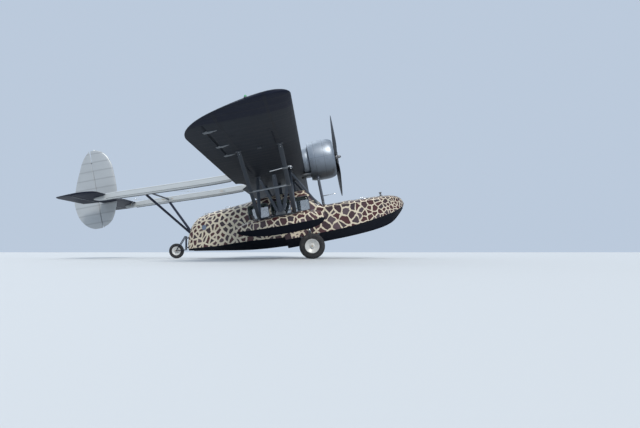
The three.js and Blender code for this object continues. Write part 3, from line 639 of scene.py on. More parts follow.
@dataclass(frozen=True)
class FloorPaint(Finish):
    """The pale, nearly even studio floor."""

    colour: Colour = (0.58, 0.60, 0.61, 1.0)

    def draw(self, g: Graph) -> None:
        """Draws the floor on g, with a trace of unevenness.

        Args:
            g: The graph.
        """
        soft = g.noise(g.object_point(), 0.35, 2.0)
        g.surface(base_color=g.mix(soft * 0.15, self.colour, tone(self.colour, 0.94)),
                  roughness=0.8 + soft * 0.08)


HIDE = HidePaint("giraffe_hide")
FLOAT_HIDE = HidePaint("giraffe_hide_float", 0.165, 2.4, -1.86, 7.3)
BOTTOM = Enamel("bottom_black", (0.0035, 0.0055, 0.012, 1.0), 0.5, 0.0, 0.0, 0.2, 0.08)
CABIN_GREEN = Enamel("cabin_primer", (0.30, 0.35, 0.29, 1.0), 0.55, 0.0, 0.0, 0.3)
WING_CLOTH = DopedFabric("wing_cloth", (0.016, 0.0195, 0.0265, 1.0), 0.30, 1.15, (-0.43, -1.34), gloss=0.5,
                         shine=0.12, tip_start=7.11)
TAIL_CLOTH = DopedFabric("tail_cloth", (0.0085, 0.0115, 0.025, 1.0), 0.275, 0.0, (-6.17,), shine=0.12)
FIN_CLOTH = DopedFabric("fin_cloth", (0.46, 0.485, 0.50, 1.0), 0.26, 0.10, (), True, 0.35, 0.34)
SILVER = Enamel("silver_boom", (0.55, 0.575, 0.58, 1.0), 0.34, 0.35, 0.2, 0.35)
# A dark line along each boom's side.
DARK_LINE = Enamel("seam_dark", (0.05, 0.055, 0.06, 1.0), 0.45, 0.1, 0.0, 0.1)
# The first of the next two is the strut paint darkened as painted shade; the second is the same paint, less
# dark.
STRUT_SHADED = Enamel("strut_paint_grey", (0.034, 0.041, 0.052, 1.0), 0.42, 0.0, 0.1, 0.25, 0.3)
STRUT_MID = Enamel("strut_paint_mid", (0.088, 0.102, 0.125, 1.0), 0.40, 0.0, 0.1, 0.25, 0.3)
STRUT_NAVY = Enamel("strut_paint_navy", (0.007, 0.011, 0.027, 1.0), 0.38, 0.0, 0.1, 0.2, 0.3)
STRUT_PALE = Enamel("bracket_pale", (0.27, 0.29, 0.31, 1.0), 0.36, 0.2, 0.2, 0.2)
FRAME_GREY = Enamel("frame_grey", (0.14, 0.15, 0.165, 1.0), 0.38, 0.3, 0.1, 0.2)
COVER_BLUE = Enamel("cover_blue_grey", (0.16, 0.20, 0.27, 1.0), 0.34, 0.2, 0.2, 0.25)
WHITE_RIM = Enamel("wheel_white", (0.62, 0.62, 0.60, 1.0), 0.36, 0.1, 0.2, 0.35)
DIAL_BLACK = Enamel("dial_black", (0.012, 0.012, 0.013, 1.0), 0.4, 0.0, 0.4, 0.1)
STEEL = BareMetal("dark_steel_fitting", (0.20, 0.21, 0.22, 1.0), 0.36, 0.16)
BRIGHT = BareMetal("bright_steel", (0.72, 0.74, 0.76, 1.0), 0.16, 0.08)
BRASS = BareMetal("brass_fitting", (0.62, 0.43, 0.19, 1.0), 0.28, 0.1)
ENGINE_CAST = BareMetal("cast_engine", (0.13, 0.135, 0.14, 1.0), 0.5, 0.14)
ENGINE_FIN = BareMetal("engine_fins", (0.24, 0.25, 0.26, 1.0), 0.42, 0.14)
BLADE = BareMetal("blade_alloy", (0.085, 0.088, 0.095, 1.0), 0.30, 0.12)
BLADE_HUB = BareMetal("hub_steel", (0.16, 0.165, 0.175, 1.0), 0.3, 0.12)
COWL = CowlMetal("cowl_sheet")
RUBBER = Rubber("tyre_rubber_black")
LEATHER = Leather("seat_hide")
PLY = Plywood("floor_board")
PANE = ClearPane("clear_pane")
RED_LENS = LampLens("red_lens", (0.45, 0.01, 0.008, 1.0))
GREEN_LENS = LampLens("green_lens", (0.01, 0.28, 0.09, 1.0))
WHITE_LENS = LampLens("white_lens", (0.8, 0.8, 0.76, 1.0))


# Curves and modelling steps

class Curve:
    """A smooth curve through table values that never overshoots them."""

    def __init__(self, knots: Sequence[float], values: Sequence[float]) -> None:
        """Fits the curve.

        Args:
            knots: Where the values stand, rising or falling.
            values: The value at each knot.
        """
        order = np.argsort(knots)
        self.knots = np.array(knots, float)[order]
        self.values = np.array(values, float)[order]
        slopes = np.diff(self.values) / np.diff(self.knots)
        inner = [2 * a * b / (a + b) if a * b > 0 else 0.0 for a, b in zip(slopes, slopes[1:])]
        self.slopes = np.array([slopes[0], *inner, slopes[-1]])

    @classmethod
    def columns(cls, rows: Sequence[Sequence[float]]) -> list["Curve"]:
        """A curve for each column of a table after the first, which holds the knots."""
        knots, *others = zip(*rows)
        return [cls(knots, column) for column in others]

    def __call__(self, at: float) -> float:
        """The curve's value.

        Args:
            at: The place.

        Returns:
            The value there.
        """
        i = int(np.clip(np.searchsorted(self.knots, at) - 1, 0, len(self.knots) - 2))
        step = self.knots[i + 1] - self.knots[i]
        t = (at - self.knots[i]) / step
        rise = self.values[i + 1] - self.values[i]
        return float(self.values[i] + rise * (3 * t**2 - 2 * t**3)
                     + step * (self.slopes[i] * (t**3 - 2 * t**2 + t) + self.slopes[i + 1] * (t**3 - t**2)))


def foil_half(t: float) -> float:
    """Half the thickness of a fair section, as a share of its full thickness."""
    return 5 * (0.2969 * math.sqrt(t) - 0.126 * t - 0.3516 * t**2 + 0.2843 * t**3 - 0.1016 * t**4)


def even(start: float, stop: float, count: int) -> list[float]:
    """Places from start to stop in a number of even steps."""
    return [start + (stop - start) * i / count for i in range(count + 1)]


def spread(start: float, stop: float, pitch: float) -> list[float]:
    """Even places from start to stop, no further apart than the pitch."""
    return even(start, stop, max(1, math.ceil(abs(stop - start) / pitch - 1e-6)))


def turns(count: int, start: float = 0.0) -> list[float]:
    """Even angles round a circle. The start is given in steps."""
    return [TAU * (i + start) / count for i in range(count)]


def clamp(value: float, high: float = 1.0) -> float:
    """The value held between 0 and a limit."""
    return min(high, max(0.0, value))


def off(point: Point, x: float = 0.0, y: float = 0.0, z: float = 0.0) -> Vector:
    """A point moved by x, y and z."""
    return Vector(point) + Vector((x, y, z))


def turned(angle: float, radius: float, centre: Point = (0.0, 0.0, 0.0)) -> Vector:
    """A point on a circle across x, at an angle from the top towards the left."""
    return off(centre, 0.0, radius * math.sin(angle), radius * math.cos(angle))


def section(xs: Sequence[float], skin: Callable[[float, int], Point],
            nose: Sequence[Point] = ()) -> list[Point]:
    """A closed section of a wing or tail surface.

    Args:
        xs: Places along the chord, from the front.
        skin: Gives the point of the upper (1) or lower (-1) skin at a place.
        nose: The points of a round nose, if it has one.

    Returns:
        The upper skin from the rear, the nose and the lower skin.
    """
    return [*(skin(x, 1) for x in reversed(xs)), *nose, *(skin(x, -1) for x in (xs if nose else xs[1:]))]


class Bench:
    """Modelling steps made with operators. What is made lies on the pile until it is delivered."""

    pile: ClassVar[list[Piece]] = []

    @staticmethod
    def pick(*pieces: Piece) -> None:
        """Selects those pieces alone, with the first one active.

        Args:
            pieces: The pieces to select.
        """
        bpy.ops.object.select_all(action="DESELECT")
        for piece in pieces:
            piece.select_set(True)
        bpy.context.view_layer.objects.active = pieces[0]

    @contextmanager
    def editing(self, piece: Piece,
                choose: Callable[[bmesh.types.BMFace], bool] | None = None) -> Iterator[None]:
        """Edit mode on a piece.

        Args:
            piece: The piece.
            choose: Says which faces are selected. Without it, all of the piece is.

        Yields:
            Nothing, with the piece open in edit mode.
        """
        self.pick(piece)
        bpy.ops.object.mode_set(mode="EDIT")
        bpy.ops.mesh.select_mode(type="FACE" if choose else "VERT")
        bpy.ops.mesh.select_all(action="DESELECT" if choose else "SELECT")
        if choose:
            form = bmesh.from_edit_mesh(piece.data)
            for face in form.faces:
                face.select_set(choose(face))
            bmesh.update_edit_mesh(piece.data)
        yield
        bpy.ops.object.mode_set(mode="OBJECT")

    def dress(self, piece: Piece, *finishes: Finish) -> Piece:
        """Gives a piece its materials, in the order of its faces' indices, and lays it on the pile.

        Args:
            piece: The piece.
            finishes: Its finishes.

        Returns:
            The piece.
        """
        piece.data.materials.clear()
        for finish in finishes:
            piece.data.materials.append(finish.material())
        if piece not in self.pile:
            self.pile.append(piece)
        return piece

    @staticmethod
    def placed() -> Piece:
        """The new primitive, with its place put into its mesh."""
        bpy.ops.object.transform_apply(location=True, rotation=True, scale=True)
        return bpy.context.object

    @staticmethod
    def set_points(piece: Piece, points: Sequence) -> None:
        """Moves a piece's points."""
        piece.data.vertices.foreach_set("co", np.array(points, np.float32).ravel())

    def lofted(self, rings: Sequence[Sequence[Point]], *finishes: Finish, kinds: Sequence[int] = ()) -> Piece:
        """A closed skin through rings of like count, from a grid that is laid on them.

        Args:
            rings: The sections, in order.
            finishes: The finishes that the faces choose from.
            kinds: The finish of each stretch between two ring points.

        Returns:
            The piece.
        """
        bpy.ops.mesh.primitive_grid_add(x_subdivisions=len(rings[0]), y_subdivisions=len(rings) - 1, size=1)
        piece = bpy.context.object
        self.set_points(piece, [[*ring, ring[0]] for ring in rings])
        self.dress(piece, *finishes)
        if kinds:
            piece.data.polygons.foreach_set("material_index",
                                            np.tile(np.array(kinds, np.int32), len(rings) - 1))
        with self.editing(piece):
            bpy.ops.mesh.remove_doubles(threshold=1e-5)
            bpy.ops.mesh.fill_holes(sides=0)
            bpy.ops.mesh.normals_make_consistent(inside=False)
        return piece

    def spun(self, profile: Sequence[Pair], finish: Finish, steps: int = 48,
             centre: Point = (0.0, 0.0, THRUST_Z), axis: Point = X_LINE) -> Piece:
        """A turned piece.

        Args:
            profile: Points of distance along the axis and radius.
            finish: The piece's finish.
            steps: The number of steps round.
            centre: A point on the axis.
            axis: The axis.

        Returns:
            The piece.
        """
        middle, line = Vector(centre), Vector(axis).normalized()
        out = line.orthogonal().normalized()
        bpy.ops.mesh.primitive_circle_add(vertices=len(profile), radius=1.0, fill_type="NOTHING")
        piece = bpy.context.object
        self.set_points(piece, [middle + line * along + out * radius for along, radius in profile])
        with self.editing(piece):
            bpy.ops.mesh.spin(steps=steps, angle=TAU, center=middle, axis=line)
            bpy.ops.mesh.select_all(action="SELECT")
            bpy.ops.mesh.remove_doubles(threshold=2e-5)
            bpy.ops.mesh.delete_loose()
            bpy.ops.mesh.select_all(action="SELECT")
            bpy.ops.mesh.normals_make_consistent(inside=False)
        return self.dress(piece, finish)

    def bar(self, start: Point, end: Point, radius: float, finish: Finish, sides: int = 14,
            end_radius: float | None = None, ease: float = 0.18) -> Piece:
        """A round bar between two points, with eased ends.

        Args:
            start: The middle of one end.
            end: The middle of the other.
            radius: Its radius.
            finish: Its finish.
            sides: The number of its sides.
            end_radius: The radius at its end, where that differs.
            ease: The width of the eased rims, as a share of the radius.

        Returns:
            The piece.
        """
        a, b = Vector(start), Vector(end)
        bpy.ops.mesh.primitive_cone_add(
            vertices=sides, radius1=radius, radius2=radius if end_radius is None else end_radius,
            depth=(b - a).length, location=(a + b) / 2, rotation=(b - a).to_track_quat("Z", "Y").to_euler())
        piece = self.placed()
        with self.editing(piece, lambda face: len(face.verts) > 4):
            bpy.ops.mesh.bevel(offset=radius * ease, segments=2, affect="EDGES")
        return self.dress(piece, finish)

    def pin(self, at: Point, half: Point, radius: float, finish: Finish, sides: int = 14) -> Piece:
        """A bar centred on a point, given by half its length."""
        return self.bar(off(at, *-Vector(half)), off(at, *half), radius, finish, sides)

    def block(self, low: Point, high: Point, finish: Finish, ease: float = 0.004) -> Piece:
        """A block between two corners, with eased edges.

        Args:
            low: Its low corner.
            high: Its high corner.
            finish: Its finish.
            ease: The width of its bevelled edges.

        Returns:
            The block.
        """
        a, b = Vector(low), Vector(high)
        bpy.ops.mesh.primitive_cube_add(size=1.0, location=(a + b) / 2, scale=b - a)
        piece = self.placed()
        with self.editing(piece):
            bpy.ops.mesh.bevel(offset=ease, segments=2, affect="EDGES")
        return self.dress(piece, finish)

    def slab(self, at: Point, half: Point, finish: Finish, ease: float = 0.004) -> Piece:
        """A block centred on a point, given by half its size."""
        return self.block(off(at, *-Vector(half)), off(at, *half), finish, ease)

    def lug(self, at: Point, pin: Point, deep: Point, reach: float, radius: float) -> None:
        """A hinge lug: an eye round the pin, and the arm that carries it forward.

        Args:
            at: The middle of the pin.
            pin: Half the eye's length, as a vector.
            deep: Half the arm's depth, as a vector.
            reach: How far the arm runs forward.
            radius: The eye's radius.
        """
        self.pin(at, pin, radius, STEEL)
        half = off(pin, *deep)
        self.block(off(at, *-half), off(off(at, *half), reach), STEEL)

    def prism(self, outline: Sequence[Point], travel: Point, finish: Finish, ease: float = 0.0) -> Piece:
        """A flat outline extruded along a line, with eased edges if it has an ease.

        Args:
            outline: Its outline.
            travel: The way the outline is pushed.
            finish: Its finish.
            ease: The width of its bevelled edges.

        Returns:
            The prism.
        """
        bpy.ops.mesh.primitive_circle_add(vertices=len(outline), radius=1.0, fill_type="NGON")
        piece = bpy.context.object
        self.set_points(piece, outline)
        with self.editing(piece):
            bpy.ops.mesh.extrude_region_move(TRANSFORM_OT_translate={"value": travel})
            bpy.ops.mesh.select_all(action="SELECT")
            bpy.ops.mesh.normals_make_consistent(inside=False)
            if ease > 0:
                bpy.ops.mesh.bevel(offset=ease, segments=2, affect="EDGES")
        return self.dress(piece, finish)

    def bead(self, points: Sequence[Point], radius: float, finish: Finish, closed: bool = False,
             smooth: int = 2) -> Piece:
        """A thin rod along points: a wire, a pipe or the bead round a window.

        Args:
            points: The points.
            radius: The rod's radius.
            finish: Its finish.
            closed: Whether it runs back to its first point.
            smooth: How round it is.

        Returns:
            The piece.
        """
        line = bpy.data.curves.new("bead", "CURVE")
        line.dimensions = "3D"
        line.bevel_depth, line.bevel_resolution, line.use_fill_caps = radius, smooth, True
        spline = line.splines.new("POLY")
        spline.points.add(len(points) - 1)
        for knot, point in zip(spline.points, points):
            knot.co = (*point, 1.0)
        spline.use_cyclic_u = closed
        piece = bpy.data.objects.new("bead", line)
        bpy.context.scene.collection.objects.link(piece)
        self.pick(piece)
        bpy.ops.object.convert(target="MESH")
        return self.dress(bpy.context.object, finish)

    def hoop(self, centre: Point, across: Point, up: Point, radius: float, finish: Finish, count: int = 20,
             smooth: int = 2) -> Piece:
        """A closed ring of rod round a centre, given by its two half axes.

        Args:
            centre: Its middle.
            across: Its reach one way.
            up: Its reach the other way.
            radius: The bead's radius.
            finish: Its finish.
            count: The number of its knots.
            smooth: The smooth steps between knots.

        Returns:
            The hoop.
        """
        a, b = Vector(across), Vector(up)
        points = [Vector(centre) + a * math.sin(angle) + b * math.cos(angle) for angle in turns(count)]
        return self.bead(points, radius, finish, True, smooth)

    @staticmethod
    def strut_axes(start: Vector, end: Vector) -> tuple[Vector, Vector, Vector]:
        """A strut's line, the way its section runs fore and aft, and the way across it.

        Args:
            start: One end.
            end: The other end.

        Returns:
            The ways along its line, along its chord and across both.
        """
        line = (end - start).normalized()
        along = (Vector(X_LINE) - line * line.x).normalized()
        return line, along, line.cross(along)

    def strut(self, start: Point, end: Point, chord: float, thickness: float, finish: Finish,
              cuff: float = 0.10) -> Piece:
        """A streamlined tube that pinches to a cuff at both ends.

        Args:
            start: The middle of one end.
            end: The middle of the other.
            chord: The section's length.
            thickness: Its width.
            finish: The tube's finish.
            cuff: The cuffs' length.

        Returns:
            The piece.
        """
        a, b = Vector(start), Vector(end)
        line, along, across = self.strut_axes(a, b)
        length = (b - a).length
        rings = []
        for reach, slim in [(0.0, 0.7), (cuff * 0.5, 0.72), (cuff, 1.0), (length / 2, 1.0),
                            (length - cuff, 1.0), (length - cuff * 0.5, 0.72), (length, 0.7)]:
            centre = a + line * reach
            fore, wide = chord / 2 * (0.5 + slim / 2), thickness / 2 * slim
            rings.append([centre + along * fore * math.cos(t)
                          + across * wide * math.sin(t) * (0.86 + 0.26 * math.cos(t)) for t in turns(20)])
        return self.lofted(rings, finish)

    def join(self, mark: int = 0) -> Piece:
        """Makes one piece of all that was laid on the pile since a mark.

        Args:
            mark: The place on the pile from which pieces are joined.

        Returns:
            The joined piece.
        """
        self.pick(*self.pile[mark:])
        if len(self.pile) > mark + 1:
            bpy.ops.object.join()
        self.pile[mark:] = [bpy.context.object]
        return self.pile[-1]

    def copy(self, piece: Piece, change: Matrix = MIRROR) -> Piece:
        """A moved copy with its own mesh, turned right side out if the change mirrors it.

        Args:
            piece: The piece.
            change: The change from the piece to its copy.

        Returns:
            The copy.
        """
        twin = bpy.data.objects.new(piece.name, piece.data.copy())
        bpy.context.scene.collection.objects.link(twin)
        twin.data.transform(change)
        if change.determinant() < 0:
            twin.data.flip_normals()
        self.pile.append(twin)
        return twin

    def cut(self, piece: Piece) -> None:
        """Cuts out of a piece all that was laid on the pile after it.

        Args:
            piece: The piece that is cut by all laid on the pile after it.
        """
        tool = self.join(self.pile.index(piece) + 1)
        modifier = piece.modifiers.new("cut", "BOOLEAN")
        modifier.operation = "DIFFERENCE"
        modifier.solver = "EXACT"
        modifier.object = tool
        self.apply(piece, modifier)
        self.remove(tool)

    def remove(self, piece: Piece) -> None:
        """Takes a piece off the pile and out of the scene."""
        self.pile.remove(piece)
        bpy.data.objects.remove(piece, do_unlink=True)

    def apply(self, piece: Piece, modifier: bpy.types.Modifier) -> None:
        """Applies one modifier."""
        self.pick(piece)
        bpy.ops.object.modifier_apply(modifier=modifier.name)

    def scattered(self, template: Piece, places: Sequence[tuple[Point, Matrix]], finish: Finish) -> Piece:
        """Joined copies of a small piece.

        Args:
            template: The piece, made at the origin with +Z outwards. It is used up.
            places: A point and a turn for each copy.
            finish: Their finish.

        Returns:
            The joined copies.
        """
        corners = np.array([vertex.co for vertex in template.data.vertices])
        faces = [list(face.vertices) for face in template.data.polygons]
        points, polygons = [], []
        for place, turn in places:
            base = len(points) * len(corners)
            polygons += [[base + i for i in face] for face in faces]
            points.append(corners @ np.array(turn).T + np.array(place))
        joined = bpy.data.meshes.new("scattered")
        joined.from_pydata(np.concatenate(points).tolist(), [], polygons)
        piece = bpy.data.objects.new("scattered", joined)
        bpy.context.scene.collection.objects.link(piece)
        self.remove(template)
        return self.dress(piece, finish)

    def studs(self, places: Sequence[tuple[Point, Point]], radius: float, height: float, finish: Finish,
              sides: int = 6) -> Piece:
        """Low rivet or bolt heads.

        Args:
            places: A point and an outward direction for each head.
            radius: Their radius.
            height: How far they stand proud.
            finish: Their finish.
            sides: The number of their sides.

        Returns:
            The heads, as one piece.
        """
        bpy.ops.mesh.primitive_cone_add(vertices=sides, radius1=radius, radius2=radius * 0.6, depth=height,
                                        location=(0, 0, height / 2))
        head = self.placed()
        with self.editing(head, lambda face: face.normal.z < -0.9):
            bpy.ops.mesh.delete(type="ONLY_FACE")
        facing = [(at, Vector(out).to_track_quat("Z", "Y").to_matrix()) for at, out in places]
        return self.scattered(self.dress(head, finish), facing, finish)


@dataclass
class SubAssembly(Bench):
    """A part of the machine that builds its own pieces and puts them on their bodies."""

    def build(self) -> None:
        """Builds and delivers every piece."""
        raise NotImplementedError

    def deliver(self, name: str, slot: str, *replaces: str, body: str = Body.AIRFRAME,
                angle: float = 35.0) -> Piece:
        """Turns what lies on the pile to the parked attitude, smooths it and rides it on its body.

        A name with {} is delivered on the left, with its mirror image on the right.
        The braces stand for the side.

        Args:
            name: The piece's name.
            slot: The record's material slot. It is not used.
            replaces: The CAD nodes it stands for.
            body: The body it rides on.
            angle: Edges sharper than this many degrees stay sharp.

        Returns:
            The piece, or the right one of a pair.
        """
        pieces = {Side.LEFT.word: self.join()}
        if "{}" in name:
            pieces[Side.RIGHT.word] = self.copy(self.pile[0])
        self.pile.clear()
        for side, piece in pieces.items():
            piece.name = piece.data.name = name.replace("{}", side)
            piece.data.transform(AXES.matrix())
            self.pick(piece)
            bpy.ops.object.shade_smooth_by_angle(angle=math.radians(angle))
            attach(piece, body.replace("{}", side))
            if replaces:
                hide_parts(*(node.replace("{}", side) for node in replaces))
            log.info("%s: %d faces", piece.name, len(piece.data.polygons))
        return piece


# Hull and floats

# Columns: x, keel, chine z, chine half-width, deck edge z, its half-width, crown, roundness.
HULL_TABLE = [
    (2.742, -1.560, -1.545, 0.060, -1.490, 0.095, -1.440, 2.2),
    (2.690, -1.640, -1.590, 0.165, -1.420, 0.195, -1.345, 2.2),
    (2.560, -1.785, -1.655, 0.290, -1.350, 0.310, -1.245, 2.2),
    (2.310, -1.985, -1.735, 0.385, -1.305, 0.410, -1.180, 2.2),
    (1.970, -2.085, -1.800, 0.460, -1.285, 0.485, -1.150, 2.2),
    (1.460, -2.145, -1.873, 0.525, -1.275, 0.550, -1.135, 2.2),
    (0.850, -2.178, -1.930, 0.565, -1.270, 0.590, -1.127, 2.3),
    (0.330, -2.190, -1.948, 0.575, -1.270, 0.600, -1.122, 2.4),
    (0.120, -2.194, -1.953, 0.576, -1.270, 0.600, -0.858, 2.9),
    (-0.100, -2.196, -1.957, 0.577, -1.270, 0.600, -0.585, 3.4),
    (-0.500, -2.198, -1.965, 0.578, -1.270, 0.600, -0.578, 3.6),
    (-0.918, -2.200, -1.973, 0.578, -1.270, 0.600, -0.580, 3.6),
    (-0.922, -2.126, -1.897, 0.572, -1.270, 0.600, -0.580, 3.6),
    (-1.450, -2.100, -1.855, 0.558, -1.268, 0.585, -0.600, 3.4),
    (-2.000, -2.050, -1.812, 0.530, -1.262, 0.555, -0.655, 3.0),
    (-2.450, -1.985, -1.797, 0.480, -1.255, 0.505, -0.690, 2.7),
    (-2.880, -1.912, -1.785, 0.405, -1.250, 0.430, -0.718, 2.5),
    (-3.350, -1.832, -1.745, 0.278, -1.250, 0.305, -0.800, 2.3),
    (-3.600, -1.792, -1.718, 0.185, -1.255, 0.215, -0.965, 2.3),
    (-3.780, -1.762, -1.700, 0.100, -1.330, 0.125, -1.240, 2.2),
    (-3.890, -1.742, -1.690, 0.042, -1.600, 0.045, -1.570, 2.2),
]
HULL_BREAKS = (0.330, -0.100, -0.918, -0.922)
FLOAT_TABLE = [
    (0.305, -1.632, -1.612, 0.030, -1.580, 0.040, -1.550, 2.3),
    (0.262, -1.690, -1.630, 0.105, -1.530, 0.120, -1.482, 2.3),
    (0.130, -1.780, -1.648, 0.178, -1.498, 0.192, -1.428, 2.3),
    (-0.150, -1.842, -1.662, 0.228, -1.486, 0.240, -1.404, 2.3),
    (-0.650, -1.862, -1.668, 0.242, -1.484, 0.252, -1.400, 2.3),
    (-1.150, -1.846, -1.660, 0.232, -1.486, 0.243, -1.402, 2.3),
    (-1.550, -1.798, -1.644, 0.188, -1.494, 0.200, -1.416, 2.3),
    (-1.850, -1.722, -1.624, 0.108, -1.512, 0.122, -1.450, 2.3),
    (-2.022, -1.640, -1.606, 0.024, -1.552, 0.034, -1.524, 2.3),
]
FLOAT_Y = 2.4


@dataclass
class BoatForm:
    """A boat-shaped body: keel, chine, deck edge and a rounded top, from a table of sections."""

    table: Sequence[tuple[float, ...]]
    breaks: tuple[float, ...] = ()
    centre_y: float = 0.0
    bottom_steps: int = 4
    side_steps: int = 5
    arc_steps: int = 16

    def __post_init__(self) -> None:
        """Fits smooth curves between the hard corners of the length."""
        self.front, self.rear = self.table[0][0], self.table[-1][0]
        self.edge_index = self.bottom_steps + self.side_steps
        ends = [self.front, *self.breaks, self.rear]
        self.spans = [(front, rear, Curve.columns([row for row in self.table if rear <= row[0] <= front]))
                      for front, rear in zip(ends, ends[1:])]

    def section(self, x: float) -> list[float]:
        """The table's columns at any x.

        Args:
            x: The place.

        Returns:
            One value for each column after the first.
        """
        for front, rear, curves in self.spans:
            if rear - 1e-9 <= x <= front + 1e-9:
                return [curve(x) for curve in curves]
        raise ValueError(f"x {x} is off the form")

    def half(self, x: float, grow: float = 0.0) -> list[Pair]:
        """Half a section from keel to crown, as half-width and height.

        Args:
            x: The place.
            grow: How much the section is grown.

        Returns:
            The points, as half-width and height.
        """
        keel, chine_z, chine, edge_z, edge, crown, roundness = self.section(x)
        low, corner = (0.0, keel - grow * 1.1), (chine + grow, chine_z - grow * 0.4)
        rim = (edge + grow, edge_z)
        points = []
        for a, b, steps in ((low, corner, self.bottom_steps), (corner, rim, self.side_steps)):
            points += list(zip(even(a[0], b[0], steps), even(a[1], b[1], steps)))[:-1]
        for angle in even(0.0, math.pi / 2, self.arc_steps):
            points.append((rim[0] * max(0.0, math.cos(angle)) ** (2 / roundness),
                           edge_z + (crown + grow - edge_z) * math.sin(angle) ** (2 / roundness)))
        points[-1] = (0.0, crown + grow)
        return points

    def ring(self, x: float, grow: float = 0.0) -> list[Point]:
        """A whole section, from the keel up the left side and down the right.

        Args:
            x: The place.
            grow: How much the section is grown.

        Returns:
            The closed ring.
        """
        half = self.half(x, grow)
        return ([(x, self.centre_y + y, z) for y, z in half]
                + [(x, self.centre_y - y, z) for y, z in reversed(half[1:-1])])

    def kinds(self) -> list[int]:
        """0 for each stretch over the chine and 1 for each stretch under it."""
        bottom = [1] * self.bottom_steps
        return [*bottom, *[0] * (2 * (self.side_steps + self.arc_steps)), *bottom]

    def opened(self, x: float, grow: float, top: bool) -> list[Point]:
        """The open section over or under the deck edge, from right to left.

        Args:
            x: The place.
            grow: How much the section is grown.
            top: Whether it is the part over the deck edge.

        Returns:
            The open ring.
        """
        half = self.half(x, grow)
        run = half[self.edge_index:] if top else half[self.edge_index::-1]
        return [(x, -y, z) for y, z in run] + [(x, y, z) for y, z in reversed(run[:-1])]

    def shell(self, front: float, rear: float, wall: float, top: bool) -> list[list[Point]]:
        """The rings of a wall over or under the deck edge, outside and inside."""
        return [self.opened(x, 0.0, top) + self.opened(x, -wall, top)[::-1]
                for x in self.stations(front, rear)]

    def skin(self, front: float, rear: float, pitch: float = 0.05, reach: float = 0.0) -> list[list[Point]]:
        """The rings of a solid stretch, with its front rounded off if it has a reach.

        Args:
            front: The front end.
            rear: The rear end.
            pitch: The greatest step.
            reach: How far its rounded front stands out.

        Returns:
            The rings.
        """
        rings = []
        if reach:
            ring = np.array(self.ring(front))
            centre = ring.mean(axis=0)
            for share in (0.93, 0.7, 0.4, 0.15):
                moved = centre + (ring - centre) * math.sqrt(1 - share**2)
                moved[:, 0] = front + reach * share
                rings.append(moved.tolist())
        return rings + [self.ring(x) for x in self.stations(front, rear, pitch)]

    def side(self, x: float, z: float, grow: float = 0.0) -> float:
        """The half-width at a height."""
        widths, heights = zip(*self.half(x, grow))
        return float(np.interp(z, heights, widths))

    def deck(self, x: float, y: float, grow: float = 0.0) -> float:
        """The height of the top at a half-width."""
        widths, heights = zip(*self.half(x, grow)[:self.edge_index - 1:-1])
        return float(np.interp(abs(y), widths, heights))

    def side_point(self, x: float, z: float, grow: float = 0.0) -> Point:
        """The point of the left side at a height."""
        return (x, self.side(x, z, grow), z)

    def deck_point(self, x: float, y: float, grow: float = 0.0) -> Point:
        """The point of the top at a half-width."""
        return (x, y, self.deck(x, y, grow))

    def stations(self, start: float, stop: float, pitch: float = 0.05) -> list[float]:
        """Places along x, falling, with each hard corner among them."""
        marks = [start, *(x for x in self.breaks if stop < x < start), stop]
        return [x for a, b in zip(marks, marks[1:]) for x in spread(a, b, pitch)[:-1]] + [stop]


HULL = BoatForm(HULL_TABLE, HULL_BREAKS)
FLOAT = BoatForm(FLOAT_TABLE, (), FLOAT_Y)


